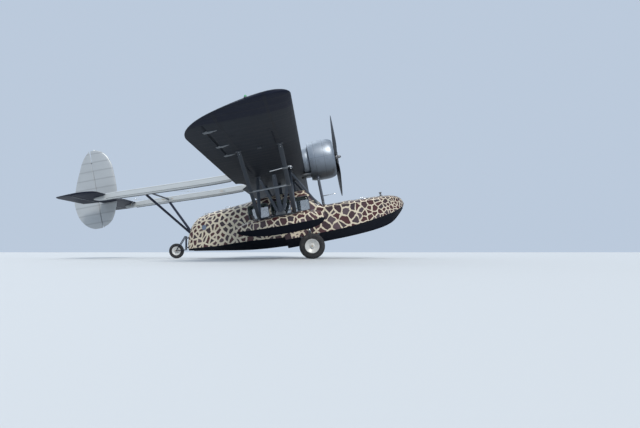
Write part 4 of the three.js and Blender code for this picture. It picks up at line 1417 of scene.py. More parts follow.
@dataclass
class Hull(SubAssembly):
    """The decked bow and stern, and the cabin between them with its windows and its hatch."""

    front: float = 0.330
    rear: float = -2.880
    wall: float = 0.030
    seat: float = 0.0004
    window_low: float = -1.205
    window_high: float = -0.800
    windows: tuple[Pair, ...] = ((-0.520, -0.060), (-1.170, -0.610), (-1.850, -1.260))
    corner: float = 0.055
    pane_outer: float = -0.031
    pane_inner: float = -0.036
    hatch_front: float = -2.170
    hatch_rear: float = -2.760
    hatch_half: float = 0.290
    hatch_hinges: Pair = (-2.630, -2.300)
    hatch_pin: Pair = (0.330, -0.706)

    def build(self) -> None:
        """Builds the hull's skins, its walls, its panes and its hatch."""
        self.end("hull_bow", HULL.skin(HULL.front, self.front + self.seat, reach=0.014))
        self.tub()
        self.end("hull_stern", HULL.skin(self.rear - self.seat, HULL.rear))
        self.roof()
        self.bulkheads()
        self.panes()
        self.hatch()

    def end(self, node: str, rings: list[list[Point]]) -> None:
        """A closed end of the hull, which stands for that node."""
        self.lofted(rings, HIDE, BOTTOM, kinds=HULL.kinds())
        self.deliver(f"{node}_skin", "hide_paint", node)

    def tub(self) -> None:
        """The open lower hull round the cabin, with the step across its bottom."""
        sides, bottoms = [0] * HULL.side_steps, [1] * (2 * HULL.bottom_steps)
        outer = [*sides, *bottoms, *sides]
        self.lofted(HULL.shell(self.front, self.rear, self.wall, False), HIDE, BOTTOM, CABIN_GREEN,
                    kinds=[*outer, 0, *[2] * len(outer), 0])
        self.deliver("hull_tub_skin", "hide_paint", "hull_tub")

    def roof(self) -> None:
        """The cabin top, with its windows, windscreen and hatchway cut, and the hatch's lugs."""
        arc = 2 * HULL.arc_steps
        top = self.lofted(HULL.shell(self.front, self.rear, self.wall, True), HIDE, CABIN_GREEN,
                          kinds=[0] * arc + [1] * (arc + 2))
        for rear, front in self.windows:
            self.prism([(x, -0.9, z) for x, z in self.outline(rear, front)], (0.0, 1.8, 0.0), CABIN_GREEN)
        out = Vector((0.78, 0.0, 0.63))
        for y in (0.030, -0.430):
            foot, head = Vector((0.260, y, -1.065)), Vector((-0.070, y, -0.665))
            self.prism([foot - out * 0.07, foot + out * 0.26, head + out * 0.26, head - out * 0.07],
                       (0.0, 0.4, 0.0), CABIN_GREEN)
        self.block((self.hatch_rear, -self.hatch_half, -0.95), (self.hatch_front, self.hatch_half, -0.4),
                   CABIN_GREEN, 0.03)
        self.cut(top)
        for x in self.hatch_hinges:
            at = (x, *self.hatch_pin)
            self.block(off(at, -0.012, -0.011, -0.08), off(at, 0.012, 0.011), STEEL, 0.002)
            self.pin(at, (0.012, 0.0, 0.0), 0.013, STEEL)
        self.deliver("cabin_top_skin", "hide_paint", "cabin_top")

    def outline(self, rear: float, front: float, margin: float = 0.0) -> list[Pair]:
        """A window's outline with round corners, as x and z.

        Args:
            rear: The window's rear edge.
            front: Its front edge.
            margin: How much the outline is grown.

        Returns:
            The outline.
        """
        radius = self.corner + margin
        xs = (rear + self.corner, front - self.corner)
        low, high = self.window_low + self.corner, self.window_high - self.corner
        corners = ((xs[1], high), (xs[0], high), (xs[0], low), (xs[1], low))
        return [(x + radius * math.cos(angle), z + radius * math.sin(angle))
                for number, (x, z) in enumerate(corners)
                for angle in even(TAU * number / 4, TAU * (number + 1) / 4, 6)]

    def bulkheads(self) -> None:
        """The walls at both ends of the cabin."""
        front, rear = self.front, self.rear
        for ends in ((front - 0.001, front - self.wall), (rear + self.wall, rear + 0.001)):
            self.lofted([HULL.ring(x, -0.004) for x in ends], CABIN_GREEN)
        self.deliver("cabin_bulkheads", "hide_paint")

    def sheet(self, xs: Sequence[float], across: Sequence[float],
              skin: Callable[[float, float, float], Point], depths: Pair, *finishes: Finish,
              kinds: Sequence[int] = ()) -> None:
        """A curved sheet that follows the hull.

        Args:
            xs: Its places along x.
            across: Its places up the side or across the top.
            skin: Gives the hull's point at two such places, grown by so much.
            depths: How much its outer and its inner face are grown.
            finishes: Its finishes.
            kinds: The finish of each stretch round it.
        """
        outer, inner = depths
        self.lofted([[skin(x, w, outer) for w in across] + [skin(x, w, inner) for w in reversed(across)]
                     for x in xs], *finishes, kinds=kinds)

    def panes(self) -> None:
        """The clear sheets behind the side windows and behind the windscreen."""
        depths = (self.pane_outer, self.pane_inner)
        self.sheet(spread(-0.04, -1.90, 0.06), spread(self.window_low - 0.03, self.window_high + 0.022, 0.03),
                   HULL.side_point, depths, PANE)
        self.deliver("side_pane_{}", "window_glass", "side_glass_{}")
        self.sheet(spread(0.290, -0.080, 0.03), spread(-0.455, 0.455, 0.035), HULL.deck_point, depths, PANE)
        self.deliver("windscreen_pane", "window_glass", "windscreen")

    def hatch(self) -> None:
        """The entry hatch, with its hinge arms, pins and handle."""
        widths = spread(-0.284, 0.284, 0.03)
        count = len(widths)
        self.sheet(spread(self.hatch_front - 0.006, self.hatch_rear + 0.006, 0.04), widths, HULL.deck_point,
                   (0.0, -0.022), HIDE, CABIN_GREEN, kinds=[0] * count + [1] * (count - 1) + [0])
        y, z = self.hatch_pin
        for x in self.hatch_hinges:
            for low in (x - 0.034, x + 0.018):
                self.block((low, 0.20, z - 0.009), (low + 0.016, y + 0.009, z + 0.009), STEEL)
                self.block((low, 0.20, z - 0.05), (low + 0.016, 0.27, z), STEEL)
            self.pin((x, y, z), (0.034, 0.0, 0.0), 0.006, STEEL)
        middle = (self.hatch_front + self.hatch_rear) / 2
        grip = ((-0.07, -0.005), (-0.07, 0.03), (-0.055, 0.045), (0.055, 0.045), (0.07, 0.03), (0.07, -0.005))
        self.bead([off(HULL.deck_point(middle, -0.2), x, 0.0, z) for x, z in grip], 0.007, BRIGHT)
        self.deliver("entry_hatch_lid", "hide_paint", "entry_hatch", body=Body.HATCH)


@dataclass
class SideFloats(SubAssembly):
    """The two side floats."""

    def build(self) -> None:
        """Builds one float and mirrors it."""
        self.lofted(FLOAT.skin(FLOAT.front, FLOAT.rear, 0.04, 0.010), FLOAT_HIDE, BOTTOM, kinds=FLOAT.kinds())
        self.deliver("float_skin_{}", "hide_paint", "float_{}")


# Wing

NOSE_ARC = turns(16, 0.5)[:8]


@dataclass
class Wing(SubAssembly):
    """The parasol wing in three panels, with its ailerons, ribs and fittings."""

    half_span: float = 7.925
    chord: float = 2.05
    incidence: float = math.radians(3.4)
    dihedral: float = math.radians(1.0)
    centre_half: float = 1.15
    thickness: float = 0.135
    camber: float = 0.032
    tip_start: float = 6.42
    tip_chord: float = 0.47
    tip_corner: float = 0.26
    rib_pitch: float = 0.30
    sag: float = 0.0045
    hinge_x: float = -1.65
    aileron_inner: float = 4.35
    aileron_outer: float = 7.10
    nose: float = 0.038
    running: float = 0.008
    chord_steps: int = 22
    brackets: tuple[float, ...] = (0.200, 1.100, 2.340)

    def edges(self, y: float) -> tuple[float, float, float]:
        """The leading edge, the trailing edge and the slimming at a span position.

        Args:
            y: The span position, on the left.

        Returns:
            The three values.
        """
        corner = clamp((y - (self.half_span - self.tip_corner)) / self.tip_corner, 0.999)
        sweep = max(0.0, (y - self.tip_start) / (self.half_span - self.tip_start))
        le = -self.tip_corner * (1 - math.sqrt(1 - corner**2))
        te = -self.tip_chord - (self.chord - self.tip_chord) * math.sqrt(1 - min(0.9999, sweep) ** 2)
        return le, te, math.sqrt(1 - 0.97 * sweep**2)

    def height(self, x: float, y: float, side: int, sag: float = 0.0) -> float:
        """The height of the upper (side 1) or lower (side -1) skin, or of the mean line (side 0).

        Args:
            x: The place along the chord.
            y: The span position.
            side: Which skin, or 0 for the mean line.
            sag: How far the cloth sags.

        Returns:
            The height.
        """
        le, te, slim = self.edges(abs(y))
        t = clamp((le - x) / (le - te))
        drop = sag * math.sin(math.pi * clamp((t - 0.12) / 0.84)) * slim
        camber = (0.8 * t - t * t) / 0.16 if t < 0.4 else (0.2 + 0.8 * t - t * t) / 0.36
        middle = (x * math.tan(self.incidence) + abs(y) * math.tan(self.dihedral)
                  + slim * self.camber * self.chord * camber)
        return middle + side * max(0.0008, slim * self.thickness * self.chord * foil_half(t) - drop)

    def spans(self, start: float, stop: float) -> list[Pair]:
        """Span positions from rib to rib, each with the cloth's sag there."""
        return [(y, self.sag * math.sin(math.pi * ((y - self.centre_half) / self.rib_pitch % 1.0)) ** 0.8)
                for y in spread(start, stop, self.rib_pitch / 4)]

    def ring(self, y: float, sag: float, xs: Sequence[float] = (), nose: Sequence[Point] = ()) -> list[Point]:
        """A section at one span position: the whole one, or that of an aileron with its nose.

        Args:
            y: The span position.
            sag: How far the cloth sags.
            xs: Its places along the chord, for an aileron.
            nose: The points of its nose.

        Returns:
            The ring.
        """
        le, te, _ = self.edges(abs(y))
        whole = [le - (le - te) * (1 - math.cos(angle)) / 2 for angle in even(0.0, math.pi, self.chord_steps)]
        return section(xs or whole, lambda x, side: (x, y, self.height(x, y, side, sag)), nose)

    def hinge_point(self, y: float) -> Vector:
        """A point on the aileron's hinge line."""
        return Vector((self.hinge_x, y, self.height(self.hinge_x, y, 0)))

    def build(self) -> None:
        """Builds the panels and the ailerons."""
        self.centre()
        self.outer_panel()
        self.aileron()

    def centre(self) -> None:
        """The centre panel, with the scoop in its trailing edge and its hoist pads."""
        panel = self.lofted([self.ring(*place) for place in self.spans(-self.centre_half, self.centre_half)],
                            WING_CLOTH)
        self.prism([(-2.0565 + 0.230 * math.cos(angle), 0.66 * math.sin(angle), -0.6) for angle in turns(48)],
                   (0.0, 0.0, 1.2), WING_CLOTH)
        self.cut(panel)
        pad_z = self.height(-1.35, 0.56, 1)
        self.copy(self.block((-1.40, 0.51, pad_z - 0.06), (-1.30, 0.61, pad_z + 0.022), STEEL, 0.003))
        self.deliver("wing_centre_skin", "wing_charcoal", "wing_centre")

    def outer_panel(self) -> None:
        """An outer panel with the bay for its aileron, its brackets and its tie-down pad."""
        run = self.half_span - self.tip_start
        tip = [(self.tip_start + run * math.sin(angle), 0.0) for angle in even(0.0, math.pi / 2, 24)[1:]]
        places = self.spans(self.centre_half + 0.0004, self.tip_start) + tip
        panel = self.lofted([self.ring(*place) for place in places], WING_CLOTH)
        self.block((-3.0, self.aileron_inner - self.running, -0.6),
                   (self.hinge_x + self.nose + self.running, self.aileron_outer + self.running, 0.9),
                   WING_CLOTH, 0.0005)
        self.cut(panel)
        for reach in self.brackets:
            self.bracket(self.aileron_inner + reach)
        pad_z = self.height(-0.88, 4.75, -1)
        self.block((-0.93, 4.70, pad_z - 0.022), (-0.83, 4.80, pad_z + 0.06), STRUT_SHADED, 0.003)
        self.deliver("wing_skin_{}", "wing_charcoal", "wing_{}")

    def bracket(self, y: float) -> None:
        """A pale hinge bracket under the wing that carries the aileron.

        Args:
            y: The span position.
        """
        at = self.hinge_point(y)
        low = self.height(self.hinge_x + 0.2, y, -1)
        outline = ((0.24, low + 0.005), (0.10, low - 0.024), (-0.02, at.z - 0.085), (-0.05, at.z - 0.060),
                   (-0.03, at.z - 0.04), (0.07, low + 0.012))
        self.prism([(at.x + x, y - 0.012, z) for x, z in outline], (0.0, 0.024, 0.0), STRUT_PALE)
        self.lug(at, (0.0, 0.015, 0.0), (0.0, 0.0, 0.022), 0.11, 0.030)

    def aileron(self) -> None:
        """An aileron with a round nose, set on its hinge line."""
        rings = []
        for y, sag in self.spans(self.aileron_inner, self.aileron_outer):
            at = self.hinge_point(y)
            nose = [off(at, self.nose * math.sin(angle), 0.0, self.nose * math.cos(angle))
                    for angle in NOSE_ARC]
            rings.append(self.ring(y, sag, even(self.hinge_x, self.edges(y)[1], 9), nose))
        self.lofted(rings, WING_CLOTH)
        self.deliver("aileron_skin_{}", "wing_charcoal", "aileron_{}", body=Body.AILERON)


WING = Wing()


# Engine

@dataclass
class PowerUnit(SubAssembly):
    """The nacelle, the cowl, the engine and the propeller."""

    cylinders: int = 9
    cylinder_x: float = 0.57
    prop_radius: float = 1.295
    prop_rest: float = math.radians(120)

    def build(self) -> None:
        """Builds the unit from the nacelle to the propeller."""
        self.nacelle()
        self.cowl()
        self.engine()
        self.propeller()

    def nacelle(self) -> None:
        """The pod behind the engine, faired into the top of the wing."""
        knots = [(0.06, 0.452), (-0.15, 0.440), (-0.45, 0.390), (-0.80, 0.285), (-1.10, 0.150),
                 (-1.23, 0.060)]
        shape = Curve.columns(knots)[0]
        pod = self.spun([(0.170, 0.0), (0.170, 0.440), (0.12, 0.449),
                         *((x, shape(x)) for x in spread(0.06, -1.23, 0.06)),
                         (-1.244, 0.046), (-1.252, 0.026), (-1.255, 0.0)], COWL, 64)
        self.block((-1.5, -0.7, -0.8), (-0.012, 0.7, 0.02), COWL, 0.0005)
        self.cut(pod)
        self.deliver("nacelle_skin", "engine_aluminium", "nacelle")

    def cowl(self) -> None:
        """The broad ring round the cylinders, with its rolled lips."""
        self.spun([(0.172, 0.556), (0.25, 0.575), (0.33, 0.588), (0.45, 0.5945), (0.56, 0.597), (0.68, 0.594),
                   (0.78, 0.585), (0.85, 0.564), (0.90, 0.538), (0.924, 0.514), (0.930, 0.494),
                   (0.922, 0.484), (0.905, 0.483), (0.82, 0.525), (0.74, 0.558), (0.68, 0.575),
                   (0.46, 0.580), (0.30, 0.565), (0.172, 0.548)], COWL, 96)
        self.deliver("engine_cowl_ring", "engine_aluminium", "engine_cowl")

    def engine(self) -> None:
        """The radial engine: crankcase, finned cylinders, the studs round its nose and two exhausts."""
        self.spun([(0.1704, 0.0), (0.1704, 0.33), (0.28, 0.335), (0.31, 0.30), (0.33, 0.225), (0.40, 0.235),
                   (0.47, 0.245), (0.66, 0.245), (0.70, 0.225), (0.74, 0.19), (0.79, 0.15), (0.82, 0.105),
                   (0.85, 0.082), (0.90, 0.072), (0.935, 0.070), (0.935, 0.0)], ENGINE_CAST)
        self.cylinder_row()
        self.studs([(turned(angle, 0.223, (0.700, 0.0, THRUST_Z)), X_LINE) for angle in turns(18)],
                   0.010, 0.012, BRIGHT)
        for degrees in (142, -142):
            _, y, z = turned(math.radians(degrees), 0.500, (0.0, 0.0, THRUST_Z))
            self.spun([(0.200, 0.034), (0.020, 0.034), (-0.130, 0.036), (-0.134, 0.034), (-0.130, 0.031),
                       (0.200, 0.030)], STEEL, 28, (0.0, y, z))
            self.bead([(0.300, y * 0.92, z + 0.05), (0.240, y * 0.97, z + 0.02), (0.190, y, z)], 0.033, STEEL,
                      smooth=5)
        self.deliver("radial_engine", "dark_steel", "engine")

    def cylinder_row(self) -> None:
        """The cylinders, modelled once and repeated round the crankcase."""
        mark = len(self.pile)
        fins = [(0.25 + i * 0.013, 0.060 if i % 2 else 0.074, 0.056) for i in range(11)]
        fins += [(0.40 + i * 0.013, 0.078 - 0.0022 * max(0, i - 4), 0.062) for i in range(10)]
        barrel = [(0.22, 0.0), (0.22, 0.070), (0.245, 0.070)]
        for foot, rim, root in fins:
            barrel += [(foot, root), (foot + 0.002, rim), (foot + 0.006, rim), (foot + 0.008, root)]
        middle = Vector((self.cylinder_x, 0.0, THRUST_Z))
        self.spun([*barrel, (0.535, 0.045), (0.540, 0.0)], ENGINE_FIN, 24, middle, Z_LINE)
        for side in SIDES:
            at = off(middle, 0.062, side * 0.040)
            self.bar(off(middle, 0.092, side * 0.036, 0.215), off(at, 0.015, 0.0, 0.50), 0.009, BRIGHT)
            self.block(off(at, -0.055, -0.018, 0.500), off(at, 0.035, 0.018, 0.548), ENGINE_CAST, 0.008)
        self.bar(off(middle, 0.07, 0.0, 0.47), off(middle, 0.115, 0.0, 0.475), 0.010, BRASS)
        cylinder = self.join(mark)
        shaft = Matrix.Translation((0.0, 0.0, THRUST_Z))
        for angle in turns(self.cylinders)[1:]:
            self.copy(cylinder, shaft @ Matrix.Rotation(angle, 4, X_LINE) @ shaft.inverted())

    def propeller(self) -> None:
        """The two-bladed propeller with its hub, modelled upright and turned to its place."""
        self.copy(self.blade(), Matrix.Rotation(math.pi, 4, X_LINE))
        self.spun([(-0.069, 0.0), (-0.069, 0.072), (-0.060, 0.078), (0.01, 0.080), (0.03, 0.074),
                   (0.06, 0.050), (0.066, 0.044), (0.10, 0.040), (0.125, 0.032), (0.140, 0.018),
                   (0.145, 0.0)], BLADE_HUB, 40, (0.0, 0.0, 0.0))
        for start in (0.09, 0.13, -0.09, -0.13):
            self.bar((0.0, 0.0, start), (0.0, 0.0, start + math.copysign(0.018, start)), 0.058, STEEL, 28)
        self.studs([(turned(angle, 0.058, (0.030, 0.0, 0.0)), X_LINE) for angle in turns(8)], 0.008, 0.014,
                   BRIGHT)
        self.join().data.transform(Matrix.Translation((PROP_PLANE, 0.0, THRUST_Z))
                                   @ Matrix.Rotation(self.prop_rest - math.pi / 2, 4, X_LINE))
        self.deliver("propeller_blades", "blade_metal", "propeller", body=Body.PROPELLER)

    def blade(self) -> Piece:
        """One blade, twisted along its length, with a fair section.

        Returns:
            The blade.
        """
        # Columns: radius, chord, thickness, pitch in degrees.
        chords, depths, pitches = Curve.columns([
            (0.05, 0.096, 0.084, 62), (0.17, 0.104, 0.070, 55), (0.33, 0.168, 0.040, 44),
            (0.56, 0.205, 0.027, 34), (0.82, 0.202, 0.020, 26), (1.06, 0.172, 0.015, 21),
            (1.22, 0.118, 0.011, 18), (self.prop_radius, 0.042, 0.007, 17)])
        rings = []
        for radius in [*spread(0.05, 1.22, 0.04), 1.25, 1.27, 1.285, self.prop_radius]:
            turn = math.radians(90 - pitches(radius))
            fair = clamp((radius - 0.12) / 0.2)
            ring = []
            for angle in turns(24):
                u = chords(radius) / 2 * math.cos(angle)
                w = depths(radius) / 2 * math.sin(angle) * (1 - 0.35 * fair * (1 - math.cos(angle)) / 2)
                ring.append((u * math.cos(turn) - w * math.sin(turn), u * math.sin(turn) + w * math.cos(turn),
                             radius))
            rings.append(ring)
        return self.lofted(rings, BLADE)


# Booms and tail

BOOM_Y = 1.25
BRACE_X = -4.53


@dataclass
class Booms(SubAssembly):
    """The two tail booms, the tube and struts that hold them, and the wires between them."""

    # Columns: x, centre z, height, width.
    table: tuple[tuple[float, float, float, float], ...] = (
        (-1.330, 0.100, 0.044, 0.040),
        (-1.480, 0.072, 0.150, 0.100),
        (-1.800, 0.022, 0.206, 0.132),
        (-2.200, 0.002, 0.212, 0.140),
        (-4.530, 0.066, 0.200, 0.126),
        (-5.500, 0.100, 0.186, 0.114),
        (-5.800, 0.096, 0.138, 0.086),
        (-5.960, 0.092, 0.040, 0.026),
    )
    squareness: float = 4.2
    sides: int = 28

    def __post_init__(self) -> None:
        """Fits the boom's curves."""
        self.centre, self.height, self.width = Curve.columns(self.table)

    def build(self) -> None:
        """Builds the booms and what ties them."""
        self.boom()
        self.strut((BRACE_X, -BOOM_Y + 0.04, 0.074), (BRACE_X, BOOM_Y - 0.04, 0.074), 0.074, 0.046,
                   STRUT_NAVY, 0.05)
        self.deliver("cross_tube", "strut_navy", "boom_cross_tube")
        self.strut((-3.69, 0.060, -1.29), (BRACE_X, BOOM_Y - 0.010, -0.002), 0.078, 0.048, STRUT_NAVY)
        self.deliver("stern_strut_tube_{}", "strut_navy", "stern_strut_{}")
        self.wires()

    def boom(self) -> None:
        """A boom of soft-cornered box section, with beads along its sides and a navy bead along its foot as
        painted shade.
        """
        rings = []
        for x in [*spread(-1.33, -2.2, 0.05), *spread(-2.4, -5.4, 0.3), *spread(-5.5, -5.96, 0.05)]:
            ring = []
            for angle in turns(self.sides, 0.5):
                c, s = math.cos(angle), math.sin(angle)
                square = (abs(c) ** self.squareness + abs(s) ** self.squareness) ** (-1 / self.squareness)
                ring.append((x, BOOM_Y + self.width(x) / 2 * c * square,
                             self.centre(x) + self.height(x) / 2 * s * square))
            rings.append(ring)
        self.lofted(rings, SILVER)
        xs = spread(-2.1, -5.6, 0.35)
        for side in SIDES:
            # A dark bead low on each side and a silver bead high on it.
            for drop, finish in ((-0.28, DARK_LINE), (0.36, SILVER)):
                self.bead([(x, BOOM_Y + side * (self.width(x) / 2 + 0.001),
                            self.centre(x) + drop * self.height(x))
                           for x in xs], 0.004, finish)
        # The navy bead along the foot is painted shade on the boom's underside.
        self.bead([(x, BOOM_Y, self.centre(x) - self.height(x) / 2 - 0.001) for x in xs], 0.012, STRUT_NAVY)
        self.deliver("boom_skin_{}", "silver_paint", "boom_{}")

    def wires(self) -> None:
        """Crossed wires with turnbuckles in the two bays between the booms, each pair joined by a disc."""
        for front, rear in ((-2.67, -4.47), (-4.59, -5.81)):
            for side in SIDES:
                near = Vector((front, side * (BOOM_Y - self.width(front) / 2), self.centre(front)))
                far = Vector((rear, -side * (BOOM_Y - self.width(rear) / 2), self.centre(rear)))
                self.bead([near, far], 0.004, BRIGHT)
                for end, other in ((near, far), (far, near)):
                    line = (other - end).normalized()
                    self.bar(end + line * 0.10, end + line * 0.22, 0.009, BRASS, 10)
                    self.bar(end - line * 0.01, end + line * 0.10, 0.006, STEEL, 8)
            middle = ((front + rear) / 2, 0.0, (self.centre(front) + self.centre(rear)) / 2)
            self.pin(middle, (0.0, 0.0, 0.006), 0.043, BRIGHT, 28)
        self.deliver("boom_wires", "dark_steel")


@dataclass
class Tail(SubAssembly):
    """The stabilizer, elevators, fin and rudder."""

    le: float = -5.60
    te: float = -6.66
    hinge: float = -6.21
    half: float = 2.20
    z: float = 0.17
    thickness: float = 0.085
    corner: float = 0.42
    inner: float = 0.29
    nose: float = 0.030
    running: float = 0.008
    rudder_hinge: float = -6.34
    fin_thickness: float = 0.078
    rib_pitch: float = 0.275
    fin_pitch: float = 0.26
    sag: float = 0.003
    # Columns: z, leading edge, trailing edge, thickness share.
    fin_table: tuple[tuple[float, float, float, float], ...] = (
        (1.752, -6.120, -6.290, 0.30),
        (1.680, -5.960, -6.420, 0.60),
        (1.500, -5.810, -6.570, 0.85),
        (1.180, -5.715, -6.730, 1.00),
        (0.700, -5.700, -6.930, 1.00),
        (0.220, -5.745, -7.050, 1.00),
        (-0.130, -5.860, -7.005, 1.00),
        (-0.380, -5.990, -6.875, 0.90),
        (-0.530, -6.170, -6.710, 0.70),
        (-0.594, -6.370, -6.560, 0.35),
    )

    def __post_init__(self) -> None:
        """Fits the fin's outline."""
        self.fin_le, self.fin_te, self.fin_share = Curve.columns(self.fin_table)
        self.gap = self.nose + self.running

    def build(self) -> None:
        """Builds the four kinds of surface."""
        self.stabilizer()
        self.elevator()
        self.fin()
        self.rudder()

    def panel(self, y: float) -> tuple[float, float, float]:
        """The leading edge, trailing edge and full depth of the tailplane at a span position.

        Args:
            y: The span position.

        Returns:
            The three values.
        """
        out = clamp((abs(y) - (self.half - self.corner)) / self.corner, 0.995)
        round_off = 1 - math.sqrt(1 - out**2)
        depth = self.thickness * (self.le - self.te) * (1 - 0.75 * round_off)
        return self.le - self.corner * 0.95 * round_off, self.te + self.corner * 0.35 * round_off, depth

    def skin(self, x: float, y: float, sag: float = 0.0) -> float:
        """Half the tailplane's depth at a point.

        Args:
            x: The place along the chord.
            y: The span position.
            sag: How far the cloth sags.

        Returns:
            Half the depth.
        """
        le, te, depth = self.panel(y)
        t = clamp((le - x) / (le - te))
        return max(0.0008, depth * foil_half(t) - sag * math.sin(math.pi * t) * depth / 0.09)

    def fin_half(self, x: float, z: float, sag: float = 0.0) -> float:
        """Half the fin's or rudder's depth at a point.

        Args:
            x: The place along the chord.
            z: The height.
            sag: How far the cloth sags.

        Returns:
            Half the depth.
        """
        le, te, share = self.fin_le(z), self.fin_te(z), self.fin_share(z)
        t = clamp((le - x) / (le - te))
        return max(0.0008, self.fin_thickness * share * foil_half(t) - sag * math.sin(math.pi * t) * share)

    def ring(self, y: float, sag: float, xs: Sequence[float], nose: float = 0.0) -> list[Point]:
        """A section of the tailplane, with a nose of that radius if it has one.

        Args:
            y: The span position.
            sag: How far the cloth sags.
            xs: Its places along the chord.
            nose: The radius of its nose.

        Returns:
            The ring.
        """
        arc = [(self.hinge + nose * math.sin(angle), y, self.z + nose * math.cos(angle))
               for angle in NOSE_ARC]
        return section(xs, lambda x, side: (x, y, self.z + side * self.skin(x, y, sag)), arc if nose else ())

    def fin_ring(self, z: float, sag: float, xs: Sequence[float], nose: float = 0.0) -> list[Point]:
        """A section of the fin, with a nose of that radius if it has one."""
        arc = [(self.rudder_hinge + nose * math.sin(angle), nose * math.cos(angle), z) for angle in NOSE_ARC]
        return section(xs, lambda x, side: (x, side * self.fin_half(x, z, sag), z), arc if nose else ())

    @staticmethod
    def front_steps(le: float, rear: float, count: int) -> list[float]:
        """Places from a leading edge to the rear of a fixed surface, closer together in front."""
        front = max(le, rear + 0.01)
        return [front + (rear - front) * t**1.6 for t in even(0.0, 1.0, count)]

    def spans(self, start: float, stop: float) -> list[Pair]:
        """Span positions with the sag at each, closer together at the rounded tips.

        Args:
            start: The first position.
            stop: The last one.

        Returns:
            Positions, each with its sag.
        """
        edge = self.half - self.corner
        places = spread(start, stop, self.rib_pitch / 4)
        for angle in even(0.0, math.pi / 2, 14)[1:]:
            mark = edge + self.corner * math.sin(angle)
            places += [side * mark for side in SIDES if start < side * mark < stop]
        return [(y, self.sag * abs(math.sin(math.pi * y / self.rib_pitch)))
                for y in sorted({round(y, 5) for y in places})]

    def stabilizer(self) -> None:
        """The fixed tailplane with its lugs."""
        rear = self.hinge + self.gap
        self.lofted([self.ring(y, sag, self.front_steps(self.panel(y)[0], rear, 14))
                     for y, sag in self.spans(-self.half, self.half)], TAIL_CLOTH)
        for y in (-1.7, -0.56, 0.56, 1.7):
            self.lug((self.hinge, y, self.z), (0.0, 0.015, 0.0), (0.0, 0.0, 0.018), self.gap + 0.02, 0.024)
        self.deliver("stabilizer_skin", "tail_navy", "stabilizer")

    def elevator(self) -> None:
        """An elevator with a round nose and a pale strip under its hinge."""
        self.lofted([self.ring(y, sag, even(self.hinge, self.panel(y)[1], 8),
                               min(self.nose, 0.8 * self.skin(self.hinge, y)))
                     for y, sag in self.spans(self.inner, self.half)], TAIL_CLOTH)
        self.bead([(self.hinge - 0.012, y, self.z - self.skin(self.hinge, y) - 0.001)
                   for y in spread(self.inner + 0.02, self.half - 0.2, 0.3)], 0.006, STRUT_PALE)
        self.deliver("elevator_skin_{}", "tail_navy", "elevator_{}", body=Body.ELEVATOR)

    def fin_heights(self) -> list[Pair]:
        """Heights up the fin with the sag at each.

        Returns:
            Heights, each with its sag.
        """
        top, foot = self.fin_table[0][0], self.fin_table[-1][0]
        places = [foot, foot + 0.012, foot + 0.03, *spread(foot + 0.06, top - 0.06, 0.065), top - 0.03,
                  top - 0.012, top]
        return [(z, self.sag * abs(math.sin(math.pi * (z - 0.10) / self.fin_pitch))) for z in places]

    def fin(self) -> None:
        """The fixed fin with its lugs and the lamp on its top."""
        rear = self.rudder_hinge + self.gap
        self.lofted([self.fin_ring(z, sag, self.front_steps(self.fin_le(z), rear, 12))
                     for z, sag in self.fin_heights()], FIN_CLOTH)
        for z in (-0.25, 0.62, 1.38):
            self.lug((self.rudder_hinge, 0.0, z), (0.0, 0.0, 0.015), (0.0, 0.018, 0.0), self.gap + 0.02,
                     0.024)
        self.spun([(0.0, 0.0), (0.0, 0.018), (0.014, 0.018), (0.03, 0.013), (0.036, 0.0)], WHITE_LENS, 20,
                  (-6.18, 0.0, self.fin_table[0][0] - 0.01), Z_LINE)
        self.deliver("fin_skin", "silver_paint", "fin")

    def rudder(self) -> None:
        """The rudder with a round nose."""
        rings = []
        for z, sag in self.fin_heights():
            nose = min(self.nose, 0.8 * self.fin_half(self.rudder_hinge, z))
            if self.fin_le(z) < self.rudder_hinge:
                nose = 0.004
            te = min(self.fin_te(z), self.rudder_hinge - 0.02)
            rings.append(self.fin_ring(z, sag, even(self.rudder_hinge, te, 10), nose))
        self.lofted(rings, FIN_CLOTH)
        self.deliver("rudder_skin", "silver_paint", "rudder", body=Body.RUDDER)


# Bracing

